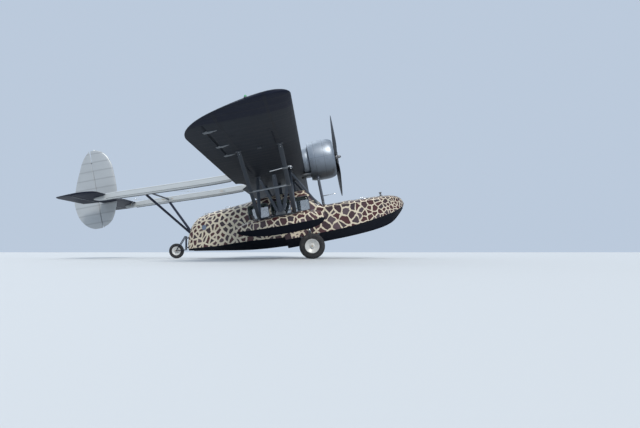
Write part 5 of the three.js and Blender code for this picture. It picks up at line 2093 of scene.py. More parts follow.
@dataclass
class Bracing(SubAssembly):
    """The struts between hull, floats and wing, and the engine's two props."""

    front_spar: float = -0.430
    rear_spar: float = -1.340
    rail_z: float = -1.378
    jury_share: float = 0.44
    cuff: float = 0.13

    def build(self) -> None:
        """Builds every set of struts."""
        self.outrigger()
        self.float_struts()
        self.lift_struts()
        self.wing_probe()
        self.cabane()
        self.engine_props()

    def under(self, spar: float, y: float, sink: float = 0.012) -> Vector:
        """A point just inside the wing's lower skin."""
        return Vector((spar, y, WING.height(spar, y, -1) + sink))

    def foot(self, x: float, y: float) -> Vector:
        """A strut's lower end on the float rail."""
        return Vector((x, y, self.rail_z + 0.006))

    def shoe(self, at: Point, half: Point) -> None:
        """A bolted plate where a strut meets a skin."""
        self.slab(at, half, STRUT_SHADED, 0.003)

    def braced(self, start: Point, end: Point, chord: float, thickness: float, finish: Finish) -> None:
        """A strut with two cross bolts through the cuff at each end.

        Args:
            start: One end.
            end: The other end.
            chord: Its depth fore and aft.
            thickness: Its thickness.
            finish: Its finish.
        """
        a, b = Vector(start), Vector(end)
        self.strut(a, b, chord, thickness, finish, self.cuff)
        for near, far in ((a, b), (b, a)):
            line, _, across = self.strut_axes(near, far)
            for step in (0.35, 0.8):
                self.pin(near + line * self.cuff * step, across * thickness * 0.4464, 0.009, BRIGHT, 6)

    def outrigger(self) -> None:
        """The rail on a float and the legs that hold it off the hull."""
        z = self.rail_z
        self.bar((-1.45, FLOAT_Y, z), (-0.40, FLOAT_Y, z), 0.026, STRUT_SHADED, 20)
        fore, aft = (-0.92, 0.56, -1.520), (-2.10, 0.50, -1.468)
        for root, x in ((fore, -0.49), (fore, -1.12), (aft, -1.40)):
            self.braced(root, (x, FLOAT_Y, z), 0.084, 0.046, STRUT_SHADED)
        for x, _, root_z in (fore, aft):
            self.shoe(HULL.side_point(x, root_z), (0.075, 0.010, 0.050))
        for x in (-1.40, -1.12, -0.49):
            self.pin((x, FLOAT_Y, z), (0.035, 0.0, 0.0), 0.034, STEEL, 20)
            self.block((x - 0.03, FLOAT_Y - 0.05, FLOAT.deck(x, 0.0) - 0.012), (x + 0.03, FLOAT_Y + 0.05, z),
                       STEEL)
        self.deliver("outrigger_tubes_{}", "strut_grey", "outrigger_{}")

    def float_struts(self) -> None:
        """The inner struts from the float rail to the wing root."""
        for place, x, spar in (("front", -0.450, self.front_spar), ("rear", -1.385, self.rear_spar)):
            self.braced(self.foot(x, FLOAT_Y - 0.042), self.under(spar, 1.215), 0.092, 0.044, STRUT_MID)
            self.shoe(self.under(spar, 1.215, 0.0), (0.07, 0.04, 0.010))
            self.deliver(f"float_strut_{place}_tube_{{}}", "strut_grey", f"float_strut_{place}_{{}}")

    def lift_struts(self) -> None:
        """The outer struts from the float rail to the wing, and the tube between them."""
        middles = []
        for x, spar, chord, thickness in ((-0.450, self.front_spar, 0.100, 0.046),
                                          (-1.385, self.rear_spar, 0.092, 0.044)):
            foot, top = self.foot(x, FLOAT_Y + 0.046), self.under(spar, 4.75)
            self.braced(foot, top, chord, thickness, STRUT_SHADED)
            self.shoe(self.under(spar, 4.75, 0.0), (0.07, 0.05, 0.010))
            middles.append(foot.lerp(top, self.jury_share))
        self.bar(*middles, 0.020, STRUT_PALE, 16)
        for at in middles:
            self.pin(at, (0.055, 0.0, 0.0), 0.027, STEEL)
        self.deliver("lift_strut_tubes_{}", "strut_grey", "lift_struts_{}")

    def wing_probe(self) -> None:
        """A bright tube that crosses the right front lift strut under the wing."""
        y, z = -4.0, -0.44
        nose = Vector((-0.30, y, z + 0.020))
        self.bar((-0.80, y, z - 0.020), nose, 0.016, BRIGHT, 20, 0.013)
        self.hoop(off(nose, z=-0.036), (0.02, 0.0, 0.0), (0.0, 0.0, 0.028), 0.006, BRIGHT)
        foot, top = self.foot(-0.450, -FLOAT_Y - 0.046), self.under(self.front_spar, -4.75)
        at = foot.lerp(top, (z - foot.z) / (top.z - foot.z))
        self.pin(at, (0.07, 0.0, 0.0), 0.034, STEEL, 20)
        self.bar(at, (at.x, y, z), 0.012, STEEL)
        self.deliver("wing_probe", "dark_steel")

    def skin_point(self, start: Vector, end: Vector) -> Vector:
        """Where a line from outside first meets the hull's side.

        Args:
            start: A point outside the hull.
            end: A point inside it.

        Returns:
            The point on the skin.
        """
        low, high = 0.0, 1.0
        for _ in range(24):
            share = (low + high) / 2
            at = start.lerp(end, share)
            inside = at.y < HULL.side(at.x, at.z) and at.z < HULL.deck(at.x, at.y)
            low, high = (low, share) if inside else (share, high)
        return start.lerp(end, high)

    def cabane(self) -> None:
        """The fan of struts from the hull's side to the wing, and the brace to the bow."""
        front, rear = self.under(self.front_spar, 1.06), self.under(self.rear_spar, 1.06)
        knee, bow = Vector((-0.92, 0.50, -1.35)), Vector((0.300, 0.470, -1.265))
        for top, foot, chord, thickness in (
                (front, knee, 0.100, 0.046), (rear, knee, 0.084, 0.044),
                (self.under(-0.895, 1.075), Vector((-0.915, 0.50, -1.35)), 0.130, 0.050),
                (front, bow, 0.062, 0.040)):
            end = self.skin_point(top, foot) + (foot - top).normalized() * 0.012
            self.braced(top, end, chord, thickness, STRUT_MID)
        y = 0.597
        plate = ((-1.075, -1.315), (-0.765, -1.315), (-0.775, -1.150), (-0.815, -1.085), (-1.020, -1.085),
                 (-1.065, -1.150))
        self.prism([(x, y, z) for x, z in plate], (0.0, 0.013, 0.0), STEEL, 0.003)
        self.studs([((x, y + 0.012, z), Y_LINE) for x in spread(-1.055, -0.785, 0.05)
                    for z in (-1.298, -1.260)],
                   0.007, 0.006, BRIGHT)
        at, out = self.skin_point(front, bow), Vector((0.15, 0.80, 0.58)).normalized()
        self.bar(at - out * 0.02, at + out * 0.008, 0.050, STEEL, 24)
        self.shoe(self.under(self.front_spar, 1.06, 0.0), (0.09, 0.05, 0.010))
        self.shoe(self.under(self.rear_spar, 1.06, 0.0), (0.07, 0.05, 0.010))
        self.deliver("cabane_tubes_{}", "strut_grey", "cabane_{}")

    def engine_props(self) -> None:
        """The two props under the cowl. The right one carries the air-speed head."""
        for side in Side:
            y = 0.300 * side.value
            at = HULL.deck_point(0.372, y)
            self.braced(off(at, z=-0.01), (0.351, y, -0.262), 0.072, 0.042, STRUT_MID)
            self.shoe(off(at, z=0.004), (0.06, 0.035, 0.008))
            if side is Side.RIGHT:
                self.bar((0.368, y, -0.870), (0.560, y, -0.865), 0.011, STEEL)
                self.bar((0.540, y, -0.865), (0.790, y, -0.860), 0.0065, BRIGHT)
                self.bar((0.790, y, -0.860), (0.800, y, -0.860), 0.0065, BRIGHT, 14, 0.002)
            self.deliver(f"engine_prop_{side.word}", "strut_grey", f"engine_strut_{side.word}")


# Wheels and their carriers

@dataclass(frozen=True)
class WheelSize:
    """The place and size of a wheel."""

    centre: Vector
    radius: float
    rim: float
    half: float
    axle: float

    def at(self, angle: float, radius: float, across: float) -> Vector:
        """A point of the wheel, at an angle from its top."""
        return off(self.centre, radius * math.sin(angle), across, radius * math.cos(angle))


MAIN_WHEEL = WheelSize(Vector((-0.180, 1.250, -2.290)), 0.360, 0.200, 0.088, 0.022)
TAIL_WHEEL = WheelSize(Vector((-4.265, 0.0, -1.683)), 0.225, 0.132, 0.052, 0.014)


@dataclass
class WheelMaker(SubAssembly):
    """Builds a dished wheel and its tyre at any size."""

    size: WheelSize
    bolts: int = 8
    blocks: int = 54

    def disc(self) -> None:
        """The wheel, with its rim, hub, bolts and valve."""
        s = self.size
        bore, half, flange = s.axle + 0.001, s.half, s.rim - 0.020
        hub = half * 0.72
        side = [(-hub, bore), (-hub, bore + 0.024), (-hub + 0.006, bore + 0.030),
                (-half * 0.34, bore + 0.042), (-half * 0.27, bore + 0.055),
                (-half * 0.42, (bore + flange) / 2), (-half * 0.62, flange - 0.010), (-half * 0.75, flange),
                (-half * 0.79, flange + 0.008), (-half * 0.79, s.rim), (-half * 0.70, s.rim - 0.002),
                (-half * 0.55, s.rim - 0.010)]
        self.spun([*side, *((-x, radius) for x, radius in reversed(side))], WHITE_RIM, 64, s.centre, Y_LINE)
        self.studs([(s.at(angle, bore + 0.048, way * half * 0.30), (0.0, way, 0.0))
                    for way in SIDES for angle in turns(self.bolts, 0.5)], 0.0075, 0.010, BRIGHT)
        valve = off(s.centre, 0.0, half * 0.60, flange - 0.032)
        self.bar(valve, off(valve, 0.0, 0.024, 0.006), 0.0045, BRASS, 10)

    def tyre(self) -> None:
        """The tyre, with grooves round its tread and blocks on its shoulders."""
        s = self.size
        wall = s.radius - s.rim
        outer, grooved = [], []
        for angle in even(0.0, math.pi, 32):
            fore, up = -math.cos(angle), math.sin(angle)
            across = s.half * math.copysign(abs(fore) ** 0.80, fore) * (0.72 + 0.28 * min(1.0, up * 2.2))
            radius = min(s.rim + 0.0004 + wall * 0.02 + wall * 0.98 * up**0.74, s.radius)
            outer.append((across, radius))
            grooved.append((across, radius))
            if abs(abs(across / s.half) - 0.42) < 0.035:
                grooved[-1:] = [(across - 0.003, radius), (across - 0.0015, radius - 0.007),
                                (across + 0.0015, radius - 0.007), (across + 0.003, radius)]
        self.spun(grooved, RUBBER, 96, s.centre, Y_LINE)
        self.shoulder_blocks(outer[16:])
        bead = s.rim + wall * 0.22
        for side in SIDES:
            self.hoop(off(s.centre, 0.0, side * s.half * 0.905), (bead, 0.0, 0.0), (0.0, 0.0, bead),
                      wall * 0.012 + 0.001, RUBBER, 64)

    def shoulder_blocks(self, outline: list[Pair]) -> None:
        """Low tread blocks round both shoulders, each with its long side round the wheel.

        Args:
            outline: The tyre's outer half, as width and radius.
        """
        s = self.size
        bpy.ops.mesh.primitive_cube_add(size=1.0, scale=(s.half * 0.20, s.radius * 0.062, 0.005))
        block = self.dress(self.placed(), RUBBER)
        with self.editing(block, lambda face: face.normal.z > 0.9):
            bpy.ops.mesh.inset(thickness=0.0015, depth=0.001)
        radius = float(np.interp(s.half * 0.70, *zip(*outline)))
        places = []
        for side in SIDES:
            for angle in turns(self.blocks, 0.25 if side > 0 else 0.0):
                out = Vector((math.sin(angle), side * 0.62, math.cos(angle))).normalized()
                around = Vector(Y_LINE).cross(out).normalized()
                turn = Matrix((around.cross(out), around, out)).transposed()
                places.append((s.at(angle, radius, side * s.half * 0.70) - out * 0.001, turn))
        self.scattered(block, places, RUBBER)


@dataclass
class MainGear(SubAssembly):
    """The main wheels and the legs that carry them."""

    def build(self) -> None:
        """Builds the left side and mirrors it."""
        self.leg()
        maker = WheelMaker(MAIN_WHEEL)
        maker.disc()
        self.deliver("wheel_disc_{}", "wheel_disc", "wheel_{}", body=Body.MAIN_WHEEL)
        maker.tyre()
        self.deliver("tyre_tread_{}", "tyre_rubber", "tyre_{}", body=Body.MAIN_WHEEL, angle=28.0)

    def leg(self) -> None:
        """The V of tubes, the shock strut, the knuckle, the axle and the brake hose."""
        s = MAIN_WHEEL
        knuckle, top = off(s.centre, 0.0, -0.150), Vector((s.centre.x, 0.565, -1.575))
        for foot in ((0.110, 0.490, -1.893), (-0.520, 0.490, -1.903)):
            self.strut(foot, knuckle, 0.062, 0.040, STRUT_SHADED)
            self.block(off(foot, -0.05, -0.04, -0.012), off(foot, 0.05, 0.05, 0.022), STEEL)
        low = off(knuckle, 0.0, -0.018, 0.024)
        line = top - low
        self.bar(low, low + line * 0.60, 0.036, STRUT_SHADED, 24)
        self.bar(low + line * 0.58, low + line * 0.63, 0.040, STEEL, 24)
        self.bar(low + line * 0.60, top, 0.023, BRIGHT, 20)
        self.bar(low + line * 0.93, top, 0.032, STEEL, 20)
        self.block(off(top, -0.05, 0.0, -0.05), off(top, 0.05, 0.030, 0.05), STEEL, 0.006)
        self.bar(off(knuckle, y=-0.040), off(knuckle, y=0.045), 0.042, STEEL, 28)
        self.bar(knuckle, off(s.centre, y=0.072), s.axle, BRIGHT, 24)
        self.bar(off(s.centre, y=0.064), off(s.centre, y=0.077), 0.020, BRASS, 6)
        self.bead([off(low, 0.045, 0.0, 0.02), off(low + line * 0.2, 0.05), off(low + line * 0.55, 0.048),
                   off(low + line * 0.8, 0.04), off(top, 0.03, -0.005)], 0.005, RUBBER)
        self.deliver("gear_leg_tubes_{}", "strut_grey", "gear_leg_{}")


@dataclass
class TailGear(SubAssembly):
    """The post on the stern, the fork that turns in it and the tail wheel."""

    post_top: float = 0.175
    post_foot: float = -0.185
    tube: float = 0.027
    bore: float = 0.018
    room: float = 0.0007

    def __post_init__(self) -> None:
        """Places the post, upright from the ground."""
        self.post = Vector((-3.936, 0.0, -1.500))
        self.upright = AXES.parked(Z_LINE)

    def build(self) -> None:
        """Builds the post, the fork and the wheel."""
        self.stern_post()
        self.fork()
        maker = WheelMaker(TAIL_WHEEL, 6, 40)
        maker.disc()
        self.deliver("tail_wheel_disc", "wheel_disc", "tail_wheel", body=Body.TAIL_WHEEL)
        maker.tyre()
        self.deliver("tail_tyre_tread", "tyre_rubber", "tail_tyre", body=Body.TAIL_WHEEL, angle=28.0)

    def along(self, distance: float) -> Vector:
        """A point on the post's axis."""
        return self.post + self.upright * distance

    def stern_post(self) -> None:
        """The upright tube on the stern, with its two brackets."""
        outer, inner = self.tube, self.bore + self.room
        self.spun([(self.post_foot, outer), (self.post_top, outer), (self.post_top, inner),
                   (self.post_foot, inner)],
                  STRUT_NAVY, 32, self.post, self.upright)
        for distance, reach in ((self.post_top - 0.030, 0.160), (self.post_foot + 0.040, 0.070)):
            at = self.along(distance)
            self.block((at.x + self.bore + 0.004, -0.014, at.z - 0.016), (at.x + reach, 0.014, at.z + 0.016),
                       STRUT_NAVY, 0.003)
            self.spun([(0.0, outer + 0.0005), (0.0, outer + 0.005), (0.036, outer + 0.005),
                       (0.036, outer + 0.0005)],
                      STEEL, 32, at - self.upright * 0.018, self.upright)
        self.deliver("stern_post", "dark_steel")

    def fork(self) -> None:
        """The fork's pin, collars, cross rods and arms."""
        s = TAIL_WHEEL
        side = s.half + 0.022
        wide = (0.0, side, 0.0)
        foot, top = self.post_foot, self.post_top
        for low, high, radius, finish, sides in ((foot - 0.034, top + 0.034, self.bore, BRIGHT, 20),
                                                 (foot - 0.034, foot - 0.006, 0.034, STEEL, 24),
                                                 (top + 0.006, top + 0.034, 0.034, STEEL, 24)):
            self.bar(self.along(low), self.along(high), radius, finish, sides)
        self.pin(s.centre, wide, s.axle, BRIGHT, 20)
        for end in (self.along(foot - 0.022), self.along(top + 0.022)):
            rear = end - AXES.parked(X_LINE) * 0.024
            self.pin(rear, wide, 0.013, STRUT_NAVY, 16)
            for y in (-side, side):
                self.bar((rear.x, y, rear.z), off(s.centre, y=y), 0.013, STRUT_NAVY, 16, ease=0.4)
        for way in SIDES:
            hub = off(s.centre, y=way * side)
            self.pin(hub, (0.0, 0.012, 0.0), 0.024, STEEL, 24)
            self.bar(off(hub, y=0.010 * way), off(hub, y=0.0123 * way), 0.015, BRASS, 6, ease=0.05)
        self.deliver("tail_fork_tubes", "dark_steel", "tail_fork", body=Body.TAIL_FORK)


# Cabin

@dataclass
class Cabin(SubAssembly):
    """What shows through the windows: floor, seats, panel and controls."""

    floor_z: float = -1.880
    swell: float = 0.013
    voxel: float = 0.012
    lean: float = math.radians(-12.5)

    def build(self) -> None:
        """Builds the cabin's furniture."""
        self.floor()
        for side in Side:
            self.seat(f"front_seat_{side.word}", -0.330, *sorted((0.070 * side.value, 0.470 * side.value)))
        self.seat("rear_bench", -1.300, -0.400, 0.400)
        self.panel()
        self.controls()

    def floor(self) -> None:
        """The floor boards, cut to the hull's inside."""
        top_z, foot_z = self.floor_z, self.floor_z - 0.020
        rings = []
        for x in spread(0.295, -2.845, 0.08):
            top, foot = (HULL.side(x, z, -0.0304) for z in (top_z, foot_z))
            rings.append([(x, -top, top_z), (x, top, top_z), (x, foot, foot_z), (x, -foot, foot_z)])
        self.lofted(rings, PLY)
        for x in (-1.05, -2.3):
            self.block((x - 0.012, -0.20, self.floor_z), (x + 0.012, 0.20, self.floor_z + 0.018), PLY)
        self.deliver("cabin_floor_boards", "floor_ply", "cabin_floor")

    def pad(self, low: Point, high: Point, tilt: float, pivot: Point) -> None:
        """A padded block, swollen by simulation from a box with soft edges.

        Args:
            low: Its low corner.
            high: Its high corner.
            tilt: How far it leans.
            pivot: The point it leans about.
        """
        gap = self.swell * 0.8
        piece = self.block(off(low, gap, gap, gap), off(high, -gap, -gap, -gap), LEATHER, 0.018)
        middle = Matrix.Translation(pivot)
        piece.data.transform(middle @ Matrix.Rotation(tilt, 4, "Y") @ middle.inverted())
        self.swell_up(piece)
        smooth = piece.modifiers.new("round", "SUBSURF")
        smooth.levels = smooth.render_levels = 1
        self.apply(piece, smooth)
        self.dress(piece, LEATHER)

    def swell_up(self, piece: Piece) -> None:
        """Blows the piece up as cloth, and caps how far it moves.

        Args:
            piece: The piece.
        """
        remesh = piece.modifiers.new("remesh", "REMESH")
        remesh.mode = "VOXEL"
        remesh.voxel_size = self.voxel
        self.apply(piece, remesh)
        start = np.array([vertex.co for vertex in piece.data.vertices])
        cloth = piece.modifiers.new("cloth", "CLOTH")
        cloth.settings.use_pressure = True
        cloth.settings.uniform_pressure_force = 4.0
        cloth.settings.effector_weights.gravity = 0.0
        cloth.settings.quality = 4
        scene = bpy.context.scene
        for step in range(1, 16):
            scene.frame_set(step)
        shape = piece.evaluated_get(bpy.context.evaluated_depsgraph_get())
        moved = np.array([vertex.co for vertex in shape.data.vertices]) - start
        length = np.maximum(np.linalg.norm(moved, axis=1, keepdims=True), 1e-9)
        piece.modifiers.remove(cloth)
        self.set_points(piece, start + moved / length * np.minimum(length, self.swell))
        scene.frame_set(1)

    def seat(self, node: str, front: float, low_y: float, high_y: float) -> None:
        """A seat of two pads on a tube frame.

        Args:
            node: The CAD node it stands for.
            front: The x of the seat's front edge.
            low_y: Its right side.
            high_y: Its left side.
        """
        self.pad((front - 0.480, low_y, -1.610), (front, high_y, -1.500), 0.0, (0.0, 0.0, 0.0))
        self.deliver(f"{node}_cushion", "seat_leather", node, angle=60.0)
        self.pad((front - 0.490, low_y, -1.495), (front - 0.402, high_y, -1.000), self.lean,
                 (front - 0.445, 0.0, -1.500))
        self.deliver(f"{node}_back", "seat_leather", angle=60.0)
        self.seat_frame(front, low_y, high_y)
        self.deliver(f"{node}_frame", "dark_steel")

    def seat_frame(self, front: float, low_y: float, high_y: float) -> None:
        """The tubes under and behind a seat's pads, and the piping round its cushion.

        Args:
            front: The x of the seat's front edge.
            low_y: Its right side.
            high_y: Its left side.
        """
        inset, edge, rail = 0.035, 0.016, -1.618
        for y in (low_y + inset, high_y - inset):
            for x in (front - 0.06, front - 0.42):
                self.bar((x, y, self.floor_z), (x, y, -1.61), 0.011, STRUT_PALE)
                self.bar((x, y, self.floor_z), (x, y, self.floor_z + 0.006), 0.028, STEEL)
            self.bar((front - 0.02, y, rail), (front - 0.47, y, rail), 0.011, STRUT_PALE)
            self.bar((front - 0.45, y, -1.61), (front - 0.575, y, -1.02), 0.011, STRUT_PALE)
            self.bar((front - 0.06, y, -1.84), (front - 0.42, y, -1.64), 0.008, STRUT_PALE)
        for x in (front - 0.04, front - 0.45):
            self.bar((x, low_y + inset, rail), (x, high_y - inset, rail), 0.011, STRUT_PALE)
        a, b, c, d = front - edge, front - 0.48 + edge, low_y + edge, high_y - edge
        for z in (-1.509, -1.599):
            self.bead([(a, c, z), (a, d, z), (b, d, z), (b, c, z)], 0.0045, LEATHER, True)

    def panel(self) -> None:
        """The instrument panel with its dials and switches."""
        rear = 0.165
        outline = [HULL.side_point(rear, z, -0.031) for z in spread(-1.262, -1.130, 0.012)]
        outline += [(rear, -y, z) for _, y, z in reversed(outline)]
        self.prism(outline, (0.025, 0.0, 0.0), DIAL_BLACK, 0.002)
        for number, y in enumerate((-0.38, -0.28, -0.17, -0.06, 0.06, 0.17, 0.28, 0.38)):
            self.dial((rear, y, -1.195), 0.044 if abs(y) == 0.17 else 0.036, 0.7 + number * 0.83)
        for y in even(-0.18, 0.18, 6):
            self.bar((rear, y, -1.250), (rear - 0.022, y, -1.248), 0.004, BRIGHT, 8)
        self.deliver("instrument_panel_face", "dark_steel", "instrument_panel")

    def dial(self, centre: Point, radius: float, reading: float) -> None:
        """A dial with a bezel, plain marks and a pointer.

        Args:
            centre: Its middle, on the panel.
            radius: Its radius.
            reading: The pointer's angle.
        """
        self.spun([(0.0, radius), (-0.008, radius), (-0.010, radius - 0.003), (-0.006, radius - 0.006),
                   (0.0, radius - 0.006)], STEEL, 32, centre)
        self.studs([(turned(angle, radius - 0.010, off(centre, -0.001)), (-1.0, 0.0, 0.0))
                    for angle in turns(12)],
                   0.0022, 0.001, WHITE_LENS)
        face = off(centre, -0.003)
        self.bar(face, turned(reading, radius * 0.62, face), 0.0018, WHITE_LENS, 6, 0.0006)

    def controls(self) -> None:
        """The control column with its hand wheel, and the pedals."""
        floor, reach = self.floor_z, 0.135
        self.bar((-0.070, 0.0, floor + 0.016), (0.020, 0.0, -1.330), 0.017, STRUT_PALE, 20)
        self.bar((0.020, -0.006, -1.345), (0.020, 0.330, -1.345), 0.014, STRUT_PALE, 20)
        self.bar((-0.070, 0.0, floor), (-0.070, 0.0, floor + 0.026), 0.060, RUBBER, 28, 0.035)
        hub = Vector((-0.018, 0.300, -1.345))
        self.bar(hub, off(hub, 0.045), 0.020, STEEL, 20)
        self.hoop(hub, (0.0, reach, 0.0), (0.0, 0.0, reach), 0.011, PLY, 48, 3)
        for angle in turns(4):
            self.bar(off(hub, 0.012), turned(angle, reach, hub), 0.007, BRIGHT, 12)
        for angle in turns(16, 0.5):
            self.pin(turned(angle, reach, hub), turned(angle + TAU / 4, 0.006), 0.0125, PLY, 10)
        for y in (0.20, 0.40):
            self.bar((0.115, y, floor), (0.095, y, floor + 0.17), 0.008, STEEL)
            self.block((0.085, y - 0.035, floor + 0.15), (0.100, y + 0.035, floor + 0.20), RUBBER)
        self.deliver("control_column_tubes", "dark_steel", "control_column")


# Trim

@dataclass
class Trim(SubAssembly):
    """The strakes, rivets, window frames, lamps and deck fittings."""

    rivet_pitch: float = 0.055
    rivet: float = 0.0055
    frame_pitch: float = 0.46
    window_margin: float = 0.03

    def build(self) -> None:
        """Builds every set of trim."""
        self.strakes()
        self.rivets()
        self.window_frames()
        self.deck_fittings()
        self.mooring_post()
        self.lamps()
        self.wing_fittings()
        self.float_fittings()

    def edge_beads(self, form: BoatForm, xs: Sequence[float], index: int, out: float, radius: float,
                   finish: Finish) -> None:
        """A bead on each side along one corner of a form's sections.

        Args:
            form: The hull or a float.
            xs: Its places along x.
            index: The corner's place in half a section.
            out: How far it stands out.
            radius: Its radius.
            finish: Its finish.
        """
        for side in SIDES:
            corners = [(x, *form.half(x)[index]) for x in xs]
            self.bead([(x, form.centre_y + side * (y + out), z) for x, y, z in corners], radius, finish)

    def keel_bead(self, form: BoatForm, xs: Sequence[float], lift: float, radius: float) -> None:
        """A bead along a form's keel."""
        self.bead([(x, form.centre_y, form.half(x)[0][1] + lift) for x in xs], radius, BOTTOM)

    def strakes(self) -> None:
        """Rubbing strakes on the chine, the keel and the deck edge."""
        for front, rear in ((2.70, -0.914), (-0.926, -3.74)):
            xs = HULL.stations(front, rear, 0.08)
            self.edge_beads(HULL, xs, HULL.bottom_steps, 0.002, 0.009, BOTTOM)
            self.keel_bead(HULL, xs, 0.004, 0.015)
        self.deliver("hull_strakes", "hide_paint")
        self.edge_beads(HULL, HULL.stations(2.66, -3.46, 0.08), HULL.edge_index, 0.001, 0.010, HIDE)
        self.deliver("hull_rub_rails", "hide_paint")

    def outward(self, x: float, z: float, side: int) -> Vector:
        """The direction out of the hull's side at a point.

        Args:
            x: The place along the hull.
            z: The height.
            side: 1 for left, -1 for right.

        Returns:
            The direction.
        """
        reach = 0.01
        rise = (HULL.side(x, z + reach) - HULL.side(x, z - reach)) / (2 * reach)
        return Vector((0.0, side, -rise)).normalized()

    def clear_of_windows(self, x: float, z: float) -> bool:
        """Whether a point of the side lies off the windows.

        Args:
            x: The place along the hull.
            z: The height.

        Returns:
            True where a rivet may stand.
        """
        hull, margin = Hull(), self.window_margin
        level = hull.window_low - margin < z < hull.window_high + margin
        return not (level and any(rear - margin < x < front + margin for rear, front in hull.windows))

    def rivets(self) -> None:
        """Rows of rivets along the chine, the deck edge and each frame."""
        points = []
        for x in spread(2.60, -3.70, self.rivet_pitch):
            _, chine_z, _, edge_z, *_ = HULL.section(x)
            points += [(x, chine_z + 0.035), (x, edge_z - 0.030), (x, edge_z + 0.030)]
        for x in spread(2.38, -3.60, self.frame_pitch):
            _, chine_z, _, _, _, crown, _ = HULL.section(x)
            points += [(x, z) for z in spread(chine_z + 0.07, crown - 0.12, self.rivet_pitch)
                       if self.clear_of_windows(x, z)]
        self.studs([((x, side * HULL.side(x, z), z), self.outward(x, z, side))
                    for x, z in points if HULL.side(x, z) > 0.03 for side in SIDES], self.rivet, 0.0028,
                    HIDE, 7)
        self.deliver("hull_rivets", "hide_paint")

    @staticmethod
    def finer(loop: Sequence[Pair], pitch: float = 0.025) -> list[Pair]:
        """A closed outline with extra points along its long stretches.

        Args:
            loop: The outline.
            pitch: The greatest step.

        Returns:
            The finer outline.
        """
        points = []
        for a, b in zip(loop, [*loop[1:], loop[0]]):
            count = max(1, math.ceil(math.dist(a, b) / pitch))
            points += list(zip(even(a[0], b[0], count), even(a[1], b[1], count)))[:-1]
        return points

    def window_frames(self) -> None:
        """Frames round the side windows, the windscreen and the hatchway."""
        hull = Hull()
        for rear, front in hull.windows:
            outline = self.finer(hull.outline(rear, front, 0.008))
            for side in SIDES:
                self.bead([(x, side * (HULL.side(x, z) + 0.002), z) for x, z in outline], 0.009, FRAME_GREY,
                          True)
        screen = [(0.262, 0.030), (0.262, 0.430), (-0.068, 0.430), (-0.068, 0.030)]
        low, high, half = hull.hatch_rear - 0.012, hull.hatch_front + 0.012, hull.hatch_half + 0.012
        hatch = [(low, -half), (high, -half), (high, half), (low, half)]
        for corners, sides, radius in ((screen, SIDES, 0.008), (hatch, (1,), 0.006)):
            for side in sides:
                self.bead([off(HULL.deck_point(x, side * y), z=0.001) for x, y in self.finer(corners)],
                          radius, FRAME_GREY, True)
        self.deliver("window_frames", "dark_steel")

    def cleat(self, x: float, y: float) -> None:
        """A two-horned mooring cleat on the deck.

        Args:
            x: The place along the hull.
            y: The place across it.
        """
        at = HULL.deck_point(x, y)
        for step in (-0.03, 0.03):
            self.bar(off(at, step, 0.0, -0.01), off(at, step, 0.0, 0.035), 0.009, BRIGHT)
        horns = ((-0.09, 0.045), (-0.05, 0.038), (0.05, 0.038), (0.09, 0.045))
        self.bead([off(at, step, 0.0, rise) for step, rise in horns], 0.009, BRIGHT)
        self.block(off(at, -0.055, -0.022, -0.012), off(at, 0.055, 0.022, 0.004), BRIGHT, 0.003)

    def deck_fittings(self) -> None:
        """Cleats, the bow eye, the deck hatch and the round covers on the hull's sides."""
        for x, y in ((1.55, 0.40), (-3.15, 0.14)):
            for side in SIDES:
                self.cleat(x, side * y)
        self.hoop((2.742, 0.0, -1.500), (0.0, 0.0, 0.020), (0.020, 0.0, 0.0), 0.005, BRIGHT)
        x, z = -3.25, -1.16
        for side in SIDES:
            out = off(self.outward(x, z, side), -0.30)
            self.spun([(0.0, 0.060), (0.0, 0.076), (0.008, 0.075), (0.011, 0.068), (0.010, 0.060),
                       (0.006, 0.056), (0.006, 0.0), (0.0, 0.0)], COVER_BLUE, 32,
                       (x, side * (HULL.side(x, z) - 0.004), z), out)
        lid = HULL.deck_point(1.05, 0.0)
        self.spun([(-0.004, 0.0), (-0.004, 0.215), (0.006, 0.212), (0.012, 0.200), (0.014, 0.0)], HIDE, 48,
                  off(lid, z=-0.006), Z_LINE)
        self.studs([(off(lid, 0.192 * math.cos(angle), 0.192 * math.sin(angle), 0.006), Z_LINE)
                    for angle in turns(20)], 0.006, 0.005, BRIGHT, 8)
        self.deliver("deck_fittings", "dark_steel")

    def mooring_post(self) -> None:
        """The turned mooring post on the bow."""
        self.spun([(-0.060, 0.0), (-0.060, 0.062), (0.008, 0.062), (0.012, 0.058), (0.018, 0.036),
                   (0.030, 0.029), (0.060, 0.026), (0.088, 0.027), (0.098, 0.036), (0.104, 0.043),
                   (0.112, 0.0445), (0.119, 0.042), (0.122, 0.036), (0.122, 0.0)], STEEL, 40,
                   (2.12, 0.0, -1.158), Z_LINE)
        self.deliver("mooring_post_turned", "dark_steel", "mooring_post")

    def lamps(self) -> None:
        """The wing-tip lamps."""
        x, y = -0.72, WING.half_span - 0.075
        for side, lens in ((Side.LEFT, RED_LENS), (Side.RIGHT, GREEN_LENS)):
            at = (x, y * side.value, WING.height(x, y, 1) - 0.006)
            self.spun([(0.0, 0.0), (0.0, 0.030), (0.012, 0.030), (0.016, 0.024), (0.016, 0.0)], STEEL, 28,
                      at, Z_LINE)
            curve = [(0.020 + 0.028 * math.sin(angle), 0.024 * math.cos(angle))
                     for angle in even(0.0, math.pi / 2, 8)]
            self.spun([(0.014, 0.0), (0.014, 0.024), *curve], lens, 28, at, Z_LINE)
            self.deliver(f"wing_lamp_{side.word}", "dark_steel")

